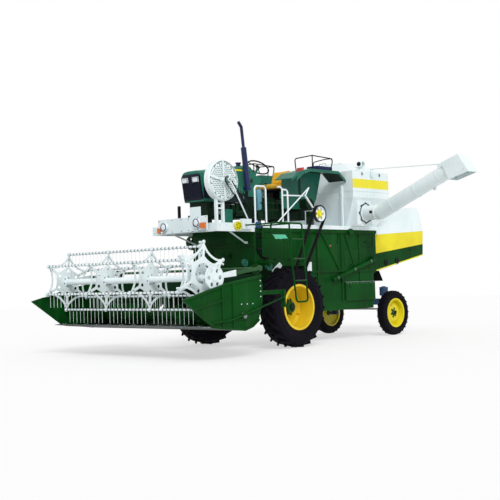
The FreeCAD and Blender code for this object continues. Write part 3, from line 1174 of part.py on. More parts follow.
def crop_auger():
    """Header auger: tube with flights of opposite hand that meet at the feeder mouth."""
    w = HEADER_HALF_WIDTH - SIDE_SHEET
    sides = 12
    step = 360.0 / sides
    tube_points = [(TROUGH_X + CROP_AUGER_TUBE * math.cos(math.radians(step * i)),
                    TROUGH_Z + CROP_AUGER_TUBE * math.sin(math.radians(step * i))) for i in range(sides)]
    tube = prism_y(tube_points, -w + 25, w - 25)
    parts = [tube, disc_y(TROUGH_X, TROUGH_Z, 30, -w - 10, w + 10)]
    sheet = 8
    inner = CROP_AUGER_TUBE - 12
    flight_start = w - 35
    turns = (flight_start - 330) / CROP_AUGER_PITCH
    count = int(turns * sides)
    rows = []
    for index in range(count + 1):
        angle = math.radians(step * index)
        y = flight_start - CROP_AUGER_PITCH * index / sides
        cos, sin = math.cos(angle), math.sin(angle)
        edge = ((inner, 0), (CROP_AUGER_RADIUS, 0), (CROP_AUGER_RADIUS, -sheet), (inner, -sheet))
        rows.append([Vec(TROUGH_X + r * cos, y + dy, TROUGH_Z + r * sin) for r, dy in edge])
    faces = []

    def tri(a, b, c):
        faces.append(Part.Face(Part.makePolygon([a, b, c, a])))
    for now, after in zip(rows, rows[1:]):
        for k in range(4):
            m = (k + 1) % 4
            tri(now[k], now[m], after[m])
            tri(now[k], after[m], after[k])
    for end in (rows[0], rows[-1]):
        tri(end[0], end[1], end[2])
        tri(end[0], end[2], end[3])
    flight = Part.makeSolid(Part.makeShell(faces))
    parts += [flight, mirrored(flight)]
    for index in range(6):
        y = -250 + 100 * index
        angle = math.radians(60 * index)
        reach = CROP_AUGER_RADIUS - 2
        parts.append(rod((TROUGH_X, y, TROUGH_Z),
                         (TROUGH_X + reach * math.cos(angle), y, TROUGH_Z + reach * math.sin(angle)), 8))
    return fuse(parts)


def feeder_house():
    """Crop elevator casing between the header and the thresher, on its pivot shaft."""
    px, pz, r = FEEDER_PIVOT_X, FEEDER_PIVOT_Z, FEEDER_REAR_RADIUS
    front = HEADER_BACK - SEAT_GAP
    w = FEEDER_HALF_WIDTH
    outline = [(front, 560), (front, 1050), (px + 60, pz + r), (px - 100, pz + r - 40), (px - r, pz + 40),
               (px - r + 30, pz - 130), (px, pz - r)]
    sheet = FEEDER_SHEET
    inner = [(front + 5, 575), (front + 5, 1035), (px + 60, pz + r - sheet), (px - 90, pz + r - 50),
             (px - r + 15, pz + 36), (px - r + 42, pz - 125), (px, pz - r + sheet)]
    casing = prism_y(outline, -w, w).cut(prism_y(inner, -w + sheet, w - sheet))
    casing = casing.cut(block((px - r - 10, px - 60), (-w + sheet, w - sheet), (pz - 130, pz + 100)))
    parts = [casing]
    for side in (1, -1):
        y0, y1 = sorted((side * (w - 5), side * (w + 95)))
        parts.append(disc_y(px, pz, FEEDER_PIVOT_RADIUS, y0, y1))
    ear = prism_y([(LIFT_HEAD_X - 70, 700), (LIFT_HEAD_X + 70, 660), (LIFT_HEAD_X + 35, LIFT_HEAD_Z - 35),
                   (LIFT_HEAD_X - 35, LIFT_HEAD_Z - 35)], -6, 6)
    for side in (1, -1):
        y = side * LIFT_Y
        for offset in (-LIFT_EAR, LIFT_EAR):
            ear_here = ear.copy().translate(Vec(0, y + offset, 0))
            parts.append(ear_here.cut(prism_y(inner, -w + sheet, w - sheet)))
        parts.append(disc_y(LIFT_HEAD_X, LIFT_HEAD_Z, LIFT_HEAD_PIN, y - LIFT_EAR - 10, y + LIFT_EAR + 10))
    return fuse(parts)


def lift_barrels():
    """Cylinder barrels of the header lift on their axle ears."""
    reach = math.hypot(LIFT_HEAD_X - LIFT_BASE_X, LIFT_HEAD_Z - LIFT_BASE_Z)
    tilt = math.degrees(math.atan2(LIFT_HEAD_Z - LIFT_BASE_Z, LIFT_HEAD_X - LIFT_BASE_X))
    parts = []
    for y in (LIFT_Y, -LIFT_Y):
        eye = disc_y(0, 0, 38, y - LIFT_EAR + 10, y + LIFT_EAR - 10)
        neck = rod((25, y, 0), (60, y, 0), 20)
        barrel = fuse([eye, neck, rod((48, y, 0), (0.62 * reach, y, 0), LIFT_BARREL_RADIUS)])
        barrel = barrel.cut(disc_y(0, 0, LIFT_PIN_RADIUS + SEAT_GAP, y - 60, y + 60))
        barrel = barrel.cut(rod((0.20 * reach, y, 0), (0.62 * reach + 5, y, 0), LIFT_ROD_RADIUS + SEAT_GAP))
        parts.append(barrel)
    return placed_lift(parts, tilt)


def lift_rods():
    """Cylinder rods of the header lift, each with an eye about the feeder house's pin."""
    reach = math.hypot(LIFT_HEAD_X - LIFT_BASE_X, LIFT_HEAD_Z - LIFT_BASE_Z)
    tilt = math.degrees(math.atan2(LIFT_HEAD_Z - LIFT_BASE_Z, LIFT_HEAD_X - LIFT_BASE_X))
    parts = []
    for y in (LIFT_Y, -LIFT_Y):
        eye = disc_y(reach, 0, 38, y - LIFT_EAR + 12, y + LIFT_EAR - 12)
        bar = fuse([eye, rod((0.36 * reach, y, 0), (reach - 20, y, 0), LIFT_ROD_RADIUS)])
        parts.append(bar.cut(disc_y(reach, 0, LIFT_HEAD_PIN + LIFT_EYE_PLAY, y - 60, y + 60)))
    return placed_lift(parts, tilt)


def placed_lift(parts, tilt):
    """Turn pieces drawn along X onto the line of the lift cylinders."""
    shape = Part.makeCompound(parts)
    shape.rotate(Vec(0, 0, 0), Vec(0, 1, 0), -tilt)
    return shape.translate(Vec(LIFT_BASE_X, 0, LIFT_BASE_Z))


node("lift_barrels", lift_barrels())
node("lift_rods", lift_rods())
node("header_pan", header_pan())
node("cutter_bar", cutter_bar())
node("crop_auger", crop_auger())
node("feeder_house", feeder_house())


# ---------------------------------------------------------------- pickup reel
def reel_angle(index):
    """Bearing of one bat round the reel's axis."""
    return math.radians(REEL_PHASE_DEG + 360.0 * index / REEL_BATS)


def star_plate(x, z, radius, y0, y1, rim, eye):
    """Six-pointed plate with hollow sides, an open bay behind each side and an eye at each point."""
    tips = [Vec(x + radius * math.cos(reel_angle(i)), y0, z + radius * math.sin(reel_angle(i)))
            for i in range(REEL_BATS)]
    edges = []
    hollow = 0.70
    sag = radius * (math.cos(math.pi / REEL_BATS) - hollow)
    curve = (radius * radius / 4 + sag * sag) / (2 * sag)
    slots = []
    for index in range(REEL_BATS):
        here, after = tips[index], tips[(index + 1) % REEL_BATS]
        angle = reel_angle(index) + math.pi / REEL_BATS
        middle = Vec(x + radius * hollow * math.cos(angle), y0, z + radius * hollow * math.sin(angle))
        edges.append(Part.Arc(here, middle, after).toShape())
        away = radius * hollow + curve
        ring = disc_y(x + away * math.cos(angle), z + away * math.sin(angle), curve + 105,
                      y0 - 1, y1 + 1, curve + 32)
        apex = (x + 44 * math.cos(angle), z + 44 * math.sin(angle))
        sector = [apex]
        for way in (-30, 30):
            side = angle + math.radians(way)
            sector.append((apex[0] + 2 * radius * math.cos(side), apex[1] + 2 * radius * math.sin(side)))
        bay = ring.common(disc_y(x, z, 0.86 * radius, y0 - 1, y1 + 1))
        slots.append(bay.common(prism_y(sector, y0 - 1, y1 + 1)))
    plate = Part.Face(Part.Wire(edges)).extrude(Vec(0, y1 - y0, 0))
    plate = plate.cut(slots)
    eyes = [disc_y(t.x, t.z, rim, y0, y1) for t in tips]
    plate = plate.multiFuse(eyes)
    cuts = [disc_y(t.x, t.z, eye, y0 - 1, y1 + 1) for t in tips]
    return plate.cut(cuts)


def reel_core():
    """Reel shaft with its star plates and spoked drive pulley."""
    w = BAT_RADIUS + SEAT_GAP
    edge = HEADER_HALF_WIDTH
    parts = [disc_y(REEL_X, REEL_Z, REEL_SHAFT_RADIUS, STAR_STATIONS[0] - 4, RING_Y - 60),
             disc_y(REEL_X, REEL_Z, 25, -edge + 5, edge - 19),
             disc_y(REEL_X, REEL_Z, 45, edge - 52, edge - 19),
             grooved_pulley(REEL_X, REEL_Z, REEL_PULLEY_RADIUS, edge - 47, edge - 22)]
    for y in STAR_STATIONS:
        star = star_plate(REEL_X, REEL_Z, REEL_RADIUS, y - STAR_THICKNESS / 2, y + STAR_THICKNESS / 2, 34, w)
        holes = []
        for index in range(REEL_BATS):
            angle = reel_angle(index)
            x, z = REEL_X + 190 * math.cos(angle), REEL_Z + 190 * math.sin(angle)
            holes.append(disc_y(x, z, 26, y - 10, y + 10))
        parts.append(star.cut(holes))
    return fuse(parts)


def control_ring():
    """Offset star that keeps the tines upright."""
    y0, y1 = RING_Y - STAR_THICKNESS / 2, RING_Y + STAR_THICKNESS / 2
    x, z = REEL_X + RING_OFFSET_X, REEL_Z + RING_OFFSET_Z
    ring = star_plate(x, z, REEL_RADIUS, y0, y1, 28, 12 + SEAT_GAP)
    return ring.cut(disc_y(x, z, 150, y0 - 1, y1 + 1))


def reel_bat(index):
    """Tine bar with its crank to the control ring."""
    angle = reel_angle(index)
    x = REEL_X + REEL_RADIUS * math.cos(angle)
    z = REEL_Z + REEL_RADIUS * math.sin(angle)
    bar = disc_y(x, z, BAT_RADIUS, BAT_START_Y, BAT_END_Y + 60)
    web_y = BAT_END_Y + 40
    cx, cz = x + RING_OFFSET_X, z + RING_OFFSET_Z
    lean = math.atan2(RING_OFFSET_Z, RING_OFFSET_X)
    nx, nz = -math.sin(lean) * 16, math.cos(lean) * 16
    crank = prism_y([(x + nx, z + nz), (x - nx, z - nz), (cx - nx, cz - nz), (cx + nx, cz + nz)],
                    web_y, web_y + 12)
    parts = [bar, crank, disc_y(cx, cz, 12, web_y, RING_Y + 14)]
    half = TINE_WIDTH / 2
    for low, high in zip(STAR_STATIONS, STAR_STATIONS[1:]):
        for step in range(1, TINES_PER_BAY + 1):
            y = low + (high - low) * step / (TINES_PER_BAY + 1)
            tine = Part.Face(Part.makePolygon([Vec(x - half, y - half, z), Vec(x + half, y - half, z),
                                               Vec(x, y + half, z), Vec(x - half, y - half, z)]))
            parts.append(tine.extrude(Vec(0, 0, -TINE_LENGTH - BAT_RADIUS)))
    return parts[0].multiFuse(parts[1:])


def reel_arms():
    """White reel arms with their bearings, hinged on the header's top corners."""
    parts = []
    px, pz = REEL_ARM_PIVOT_X, REEL_ARM_PIVOT_Z
    length = math.hypot(REEL_X - px, REEL_Z - pz)
    tilt = math.degrees(math.atan2(REEL_Z - pz, REEL_X - px))
    for y in (HEADER_HALF_WIDTH - 95, -HEADER_HALF_WIDTH + 30):
        inner = prism_y([(0, -24), (0.55 * length, -30), (0.55 * length, 30), (0, 24)], y - 12, y + 12)
        sleeve = prism_y([(0.50 * length, -46), (length - 30, -30), (length - 30, 30), (0.50 * length, 46)],
                         y - 16, y + 16)
        arm = fuse([inner, sleeve, block((length - 60, length + 5), (y - 16, y + 16), (-45, 45))])
        arm.rotate(Vec(0, 0, 0), Vec(0, 1, 0), -tilt)
        arm.translate(Vec(px, 0, pz))
        arm = fuse([arm, disc_y(REEL_X, REEL_Z, 60, y - 20, y + 20), disc_y(px, pz, 45, y - 15, y + 15)])
        arm = arm.cut(disc_y(REEL_X, REEL_Z, 25 + SEAT_GAP, y - 60, y + 60))
        parts.append(arm)
    shaft = disc_y(px, pz, 22, -HEADER_HALF_WIDTH + 20, HEADER_HALF_WIDTH - 85)
    return fuse(parts + [shaft])


def reel_posts():
    """Brackets on the header's back beam that carry the reel arms' shaft."""
    posts = []
    for y in (-1650, 1650):
        post = block((HEADER_BACK - 130, HEADER_BACK - 10), (y - 20, y + 20),
                     (HEADER_TOP + SEAT_GAP, REEL_ARM_PIVOT_Z + 50))
        posts.append(post.cut(disc_y(REEL_ARM_PIVOT_X, REEL_ARM_PIVOT_Z, 22 + SEAT_GAP, y - 40, y + 40)))
    return Part.makeCompound(posts)


node("reel_core", reel_core())
node("control_ring", control_ring())
node("reel_arms", reel_arms())
node("reel_posts", reel_posts())
for number in range(REEL_BATS):
    node("reel_bat_" + str(number + 1), reel_bat(number))


# ---------------------------------------------------------------- write the pieces
corners = [shape.BoundBox for shape in NODES.values()]
middle_x = (min(b.XMin for b in corners) + max(b.XMax for b in corners)) / 2
middle_y = (min(b.YMin for b in corners) + max(b.YMax for b in corners)) / 2
floor_z = min(b.ZMin for b in corners)
print("origin of the machine's datum in the part's frame:", -middle_x, -middle_y, -floor_z)
for name, shape in NODES.items():
    moved = shape.copy().translate(Vec(-middle_x, -middle_y, -floor_z))
    moved.exportStep("parts/" + name + ".step")
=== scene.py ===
"""Dressing and studio for a tractor-driven combine harvester.

The CAD frame gives every rigid piece; this script paints those pieces, adds the small
hardware that the solids leave out, and sets up the floor, the lamps and the camera.
"""

import logging
import math
from dataclasses import dataclass, replace
from enum import Enum, IntEnum

import bmesh
import bpy
from mathutils import Matrix, Vector


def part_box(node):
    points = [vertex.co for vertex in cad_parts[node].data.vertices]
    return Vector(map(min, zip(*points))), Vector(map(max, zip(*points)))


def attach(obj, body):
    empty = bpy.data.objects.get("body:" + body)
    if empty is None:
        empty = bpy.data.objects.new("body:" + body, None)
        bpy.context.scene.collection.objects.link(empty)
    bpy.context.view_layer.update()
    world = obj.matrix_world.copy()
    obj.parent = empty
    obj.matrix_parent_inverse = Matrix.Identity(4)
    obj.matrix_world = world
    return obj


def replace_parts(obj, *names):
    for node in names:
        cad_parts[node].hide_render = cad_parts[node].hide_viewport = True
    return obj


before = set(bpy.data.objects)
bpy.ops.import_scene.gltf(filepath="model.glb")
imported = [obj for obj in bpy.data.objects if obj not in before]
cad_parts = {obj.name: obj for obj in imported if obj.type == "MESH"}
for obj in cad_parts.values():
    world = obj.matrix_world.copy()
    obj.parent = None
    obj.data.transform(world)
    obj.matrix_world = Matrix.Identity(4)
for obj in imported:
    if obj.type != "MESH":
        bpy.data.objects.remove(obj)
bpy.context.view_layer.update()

log = logging.getLogger("combine")
Colour = tuple[float, float, float]
Point = tuple[float, float, float]
Profile = list[tuple[float, float]]
Socket = bpy.types.NodeSocket
AHEAD, LEFT, UP = (1.0, 0.0, 0.0), (0.0, 1.0, 0.0), (0.0, 0.0, 1.0)


def linear(red: int, green: int, blue: int) -> Colour:
    """Linear colour of an sRGB triple in 0..255."""
    shares = (value / 255.0 for value in (red, green, blue))
    return tuple(share / 12.92 if share <= 0.04045 else ((share + 0.055) / 1.055) ** 2.4 for share in shares)


# ------------------------------------------------------------------ shader nodes and shared groups
class Masks(Enum):
    """Shared shader groups, each giving a value that changes over the surface."""
    EDGE_WEAR = "EdgeWear"
    DUST = "SettledDust"
    MOTTLE = "Mottle"
    STREAK = "RainStreak"
    GRAIN = "FineGrain"


@dataclass(frozen=True)
class Graph:
    """Adds nodes to a shader tree, each fed by sockets or plain values."""
    tree: bpy.types.NodeTree

    def add(self, kind: str, feeds: dict, **settings: object) -> bpy.types.Node:
        """Make a node, set it up and feed its inputs.

        Args:
            kind: the node's type, after ShaderNode.
            feeds: a socket or a value for each named or numbered input.
            settings: the node's own properties.

        Returns:
            The new node.
        """
        node = self.tree.nodes.new("ShaderNode" + kind)
        for name, value in settings.items():
            setattr(node, name, value)
        for key, value in feeds.items():
            if isinstance(value, Socket):
                self.tree.links.new(value, node.inputs[key])
            else:
                node.inputs[key].default_value = value
        return node

    def maths(self, operation: str, *values: object, clamp: bool = False) -> Socket:
        """Result of a Math node, kept in 0..1 if clamped."""
        return self.add("Math", dict(enumerate(values)), operation=operation, use_clamp=clamp).outputs[0]

    def vectors(self, operation: str, *values: object) -> Socket:
        """Result of a Vector Math node: a number for a dot product or a length, else a vector."""
        node = self.add("VectorMath", dict(enumerate(values)), operation=operation)
        return node.outputs["Value" if operation in ("DOT_PRODUCT", "LENGTH") else "Vector"]

    def place(self) -> Socket:
        """The surface's place in the object's own coordinates."""
        return self.add("TexCoord", {}).outputs["Object"]

    def upward(self, vector: Socket) -> Socket:
        """The Z of a vector."""
        return self.add("SeparateXYZ", {0: vector}).outputs["Z"]

    def ramp(self, value: Socket, low: float, high: float) -> Socket:
        """Smooth 0..1 step of a value between two levels."""
        feeds = {"Value": value, "From Min": low, "From Max": high}
        return self.add("MapRange", feeds, interpolation_type="SMOOTHSTEP").outputs["Result"]

    def noise(self, scale: object, detail: float, stretch: Point = (1, 1, 1)) -> Socket:
        """Noise over the object's own coordinates.

        Args:
            scale: socket or number.
            detail: how many finer layers.
            stretch: scale of each axis.

        Returns:
            The noise's socket.
        """
        mapping = self.add("Mapping", {"Vector": self.place(), "Scale": stretch})
        feeds = {"Vector": mapping.outputs["Vector"], "Scale": scale, "Detail": detail}
        return self.add("TexNoise", feeds).outputs["Fac"]

    def group(self, mask: Masks, **values: float) -> Socket:
        """Output of a shared group, placed with its own values."""
        feeds = {name.capitalize(): value for name, value in values.items()}
        return self.add("Group", feeds, node_tree=GROUPS.get(mask)).outputs[0]

    def blend(self, mask: Socket, under: object, over: Colour) -> Socket:
        """Lay a colour over a socket or colour by a mask, through a Mix node's colour sockets."""
        feeds = {0: mask, 6: (*under, 1.0) if isinstance(under, tuple) else under, 7: (*over, 1.0)}
        return self.add("Mix", feeds, data_type="RGBA").outputs[2]


class GroupMaker:
    """Builds each shared shader group once and hands it out."""

    def __init__(self) -> None:
        """Start with no groups made."""
        self.made: dict[Masks, bpy.types.NodeTree] = {}

    def get(self, mask: Masks) -> bpy.types.NodeTree:
        """The node group of a mask, built on first use.

        Args:
            mask: which shared group.

        Returns:
            The shader node tree.
        """
        if mask not in self.made:
            inputs, output, recipe = {
                Masks.EDGE_WEAR: ({"Width": 0.006, "Amount": 0.5, "Scale": 30.0}, "Mask", self._edge_wear),
                Masks.DUST: ({"Amount": 0.4, "Low": 0.0, "High": 1.2, "Scale": 5.0}, "Mask", self._dust),
                Masks.MOTTLE: ({"Scale": 2.0}, "Mask", self._mottle),
                Masks.STREAK: ({"Amount": 0.3, "Scale": 9.0}, "Mask", self._streak),
                Masks.GRAIN: ({"Scale": 160.0, "Blend": 0.35}, "Height", self._grain),
            }[mask]
            tree = bpy.data.node_groups.new(mask.value, "ShaderNodeTree")
            for name, value in inputs.items():
                socket = tree.interface.new_socket(name, in_out="INPUT", socket_type="NodeSocketFloat")
                socket.default_value = value
            tree.interface.new_socket(output, in_out="OUTPUT", socket_type="NodeSocketFloat")
            given, out = tree.nodes.new("NodeGroupInput"), tree.nodes.new("NodeGroupOutput")
            tree.links.new(recipe(Graph(tree), given.outputs), out.inputs[output])
            self.made[mask] = tree
        return self.made[mask]

    @staticmethod
    def _edge_wear(graph: Graph, given: bpy.types.bpy_prop_collection) -> Socket:
        """Chipped paint along edges: where a rounded normal leaves the true one.

        Args:
            graph: the group's nodes.
            given: the group's inputs.

        Returns:
            The mask.
        """
        rounded = graph.add("Bevel", {"Radius": given["Width"]}, samples=4).outputs["Normal"]
        plain = graph.add("NewGeometry", {}).outputs["Normal"]
        edge = graph.maths("SUBTRACT", 1.0, graph.vectors("DOT_PRODUCT", rounded, plain), clamp=True)
        worn = graph.ramp(graph.maths("MULTIPLY", edge, graph.noise(given["Scale"], 6.0)), 0.02, 0.10)
        return graph.maths("MULTIPLY", worn, given["Amount"], clamp=True)

    @staticmethod
    def _dust(graph: Graph, given: bpy.types.bpy_prop_collection) -> Socket:
        """Pale dust on upward faces and near the ground.

        Args:
            graph: the group's nodes.
            given: the group's inputs.

        Returns:
            The mask.
        """
        lying = graph.ramp(graph.upward(graph.add("NewGeometry", {}).outputs["Normal"]), 0.2, 1.0)
        feeds = {"Value": graph.upward(graph.place()), "From Min": given["High"], "From Max": given["Low"]}
        height = graph.add("MapRange", feeds).outputs["Result"]
        total = graph.maths("ADD", graph.maths("MULTIPLY", lying, 0.45), height, clamp=True)
        mask = graph.maths("MULTIPLY", total, graph.ramp(graph.noise(given["Scale"], 5.0), 0.3, 0.75))
        return graph.maths("MULTIPLY", mask, given["Amount"], clamp=True)

    @staticmethod
    def _mottle(graph: Graph, given: bpy.types.bpy_prop_collection) -> Socket:
        """Broad soft change of tone."""
        return graph.ramp(graph.noise(given["Scale"], 3.0), 0.25, 0.75)

    @staticmethod
    def _streak(graph: Graph, given: bpy.types.bpy_prop_collection) -> Socket:
        """Thin upright runs left by rain."""
        runs = graph.ramp(graph.noise(given["Scale"], 5.0, (1.0, 1.0, 0.07)), 0.5, 0.8)
        return graph.maths("MULTIPLY", runs, given["Amount"], clamp=True)

    @staticmethod
    def _grain(graph: Graph, given: bpy.types.bpy_prop_collection) -> Socket:
        """Fine surface texture, for roughness and bump."""
        feeds = {"Factor": given["Blend"], "A": graph.noise(given["Scale"], 4.0), "B": graph.noise(14.0, 2.0)}
        return graph.add("Mix", feeds).outputs["Result"]


GROUPS = GroupMaker()


# ------------------------------------------------------------------ finishes
@dataclass(frozen=True)
class Disc:
    """Round painted area about an axis along Y."""
    centre: Point
    radius: float
    colour: Colour

    def mask(self, graph: Graph) -> Socket:
        """1 within the radius and 0 outside."""
        flat = graph.vectors("MULTIPLY", graph.vectors("SUBTRACT", graph.place(), self.centre), (1, 0, 1))
        return graph.maths("LESS_THAN", graph.vectors("LENGTH", flat), self.radius)


@dataclass(frozen=True)
class Area:
    """Painted area between pairs of planes, each given by its normal and its two levels along it."""
    planes: tuple[tuple[Point, float, float], ...]
    colour: Colour

    def mask(self, graph: Graph) -> Socket:
        """1 between every pair of planes and 0 outside.

        Args:
            graph: the material's nodes.

        Returns:
            The mask.
        """
        mask = None
        for normal, low, high in self.planes:
            level = graph.vectors("DOT_PRODUCT", graph.place(), normal)
            inside = graph.maths("COMPARE", level, (low + high) / 2, (high - low) / 2)
            mask = inside if mask is None else graph.maths("MULTIPLY", mask, inside)
        return mask


@dataclass(frozen=True)
class Finish:
    """A painted, rubber, metal or plastic surface, its wear, and the record's slot that it takes after."""
    name: str
    slot: str
    colour: Colour
    second: Colour
    roughness: float = 0.4
    metallic: float = 0.0
    coat: float = 0.0
    specular: float = 0.2
    dust: float = 0.25
    dust_high: float = 1.0
    dust_colour: Colour = (0.50, 0.44, 0.34)
    wear: float = 0.35
    wear_width: float = 0.006
    wear_colour: Colour = (0.22, 0.18, 0.15)
    streak: float = 0.10
    streak_colour: Colour = (0.30, 0.27, 0.22)
    grain: float = 150.0
    bump: float = 0.0004
    mottle: float = 1.6
    coat_roughness: float = 0.12
    roughness_change: float = 0.14
    accents: tuple = ()

    def variant(self, name: str, *accents: object, **changes: object) -> "Finish":
        """The finish under another name, with marks of other paint on it and other changes."""
        return replace(self, name=name, accents=accents, **changes)

    def make(self) -> bpy.types.Material:
        """Build the material.

        Returns:
            A new material with procedural colour, roughness and bump.
        """
        material = bpy.data.materials.new(self.name)
        material.use_nodes = True
        graph = Graph(material.node_tree)
        shader = graph.tree.nodes["Principled BSDF"].inputs
        for name, value in (("Metallic", self.metallic), ("Coat Weight", self.coat),
                            ("Specular IOR Level", self.specular), ("Coat Roughness", self.coat_roughness)):
            shader[name].default_value = value
        layers = [(accent.mask(graph), accent.colour) for accent in self.accents]
        if self.streak:
            layers.append((graph.group(Masks.STREAK, amount=self.streak), self.streak_colour))
        if self.wear:
            worn = graph.group(Masks.EDGE_WEAR, width=self.wear_width, amount=self.wear)
            layers.append((worn, self.wear_colour))
        if self.dust:
            dusty = graph.group(Masks.DUST, amount=self.dust, high=self.dust_high)
            layers.append((dusty, self.dust_colour))
        colour = graph.blend(graph.group(Masks.MOTTLE, scale=self.mottle), self.colour, self.second)
        for mask, over in layers:
            colour = graph.blend(mask, colour, over)
        height = graph.group(Masks.GRAIN, scale=self.grain)
        rough = graph.add("MapRange", {"Value": height, "To Min": max(0.03, self.roughness - self.roughness_change),
                                       "To Max": min(1.0, self.roughness + self.roughness_change)})
        bump = graph.add("Bump", {"Distance": self.bump, "Height": height})
        for name, socket in (("Base Color", colour), ("Roughness", rough.outputs["Result"]),
                             ("Normal", bump.outputs["Normal"])):
            graph.tree.links.new(socket, shader[name])
        return material


# ------------------------------------------------------------------ where the machine stands
def middle(node: str) -> Vector:
    """Middle of a CAD node's box."""
    low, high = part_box(node)
    return (low + high) / 2


DATUM = (middle("front_tyre_left") + middle("front_tyre_right")) / 2
DATUM.z = 0.0


def at(x: float, y: float, z: float) -> Vector:
    """A point of the machine, X ahead of the front axle, Y left of its middle, Z above the ground."""
    return DATUM + Vector((x, y, z))


class Side(IntEnum):
    """The machine's two sides, by the sign of Y."""
    LEFT = 1
    RIGHT = -1

    @property
    def out(self) -> Point:
        """Direction out of this side."""
        return 0.0, float(self), 0.0

    @property
    def label(self) -> str:
        """End of the names of this side's pieces."""
        return "_" + self.name.lower()

    def span(self, near: float, far: float) -> list[float]:
        """Lower and higher Y between two distances from the middle."""
        return sorted((self * near, self * far))


# ------------------------------------------------------------------ the machine's own paints
WHITE = linear(228, 238, 240)
GREEN = linear(4, 72, 20)
DARK_GREEN = linear(10, 44, 22)
YELLOW = linear(230, 218, 26)
NAVY = linear(18, 24, 44)
DARK = linear(26, 27, 30)
PALE_BLUE = linear(96, 150, 164)
OPEN = 99.0  # far outside the machine; -OPEN as a low corner's coordinate leaves that axis open
UNWORN = {"wear": 0.0, "streak": 0.0}  # for surfaces that don't chip and don't streak


def area(low: Point, high: Point, colour: Colour, *slants: tuple[Point, float, float]) -> Area:
    """Box of paint between two corners of the machine's frame.

    Args:
        low: lowest corner; -OPEN leaves an axis open.
        high: highest corner.
        colour: the paint.
        slants: further pairs of planes, in the frame's own coordinates.

    Returns:
        The painted area, in the frame's own coordinates.
    """
    planes = [(normal, low[axis] + DATUM[axis], high[axis] + DATUM[axis])
              for axis, normal in enumerate((AHEAD, LEFT, UP)) if low[axis] > -OPEN]
    return Area((*planes, *slants), colour)


def pair(low: Point, high: Point, centre: float, colour: Colour) -> tuple[Area, ...]:
    """Box of paint on both sides, its Y given from a centre that is mirrored.

    Args:
        low: lowest corner.
        high: highest corner.
        centre: Y of the left box's middle.
        colour: the paint.

    Returns:
        The two painted areas.
    """
    return tuple(area((low[0], side * centre + low[1], low[2]), (high[0], side * centre + high[1], high[2]), colour)
                 for side in Side)


def hem_area(low: float, high: float, colour: Colour) -> Area:
    """Strip of paint along the hood's lower edge.

    Args:
        low: start above the edge.
        high: end above the edge.
        colour: the paint.

    Returns:
        The painted strip.
    """
    normal = Vector((0.18, 0.0, 0.9837))
    edge = normal.dot(at(-3.05, 0.0, 1.25))
    return Area(((tuple(normal), edge + low, edge + high),), colour)


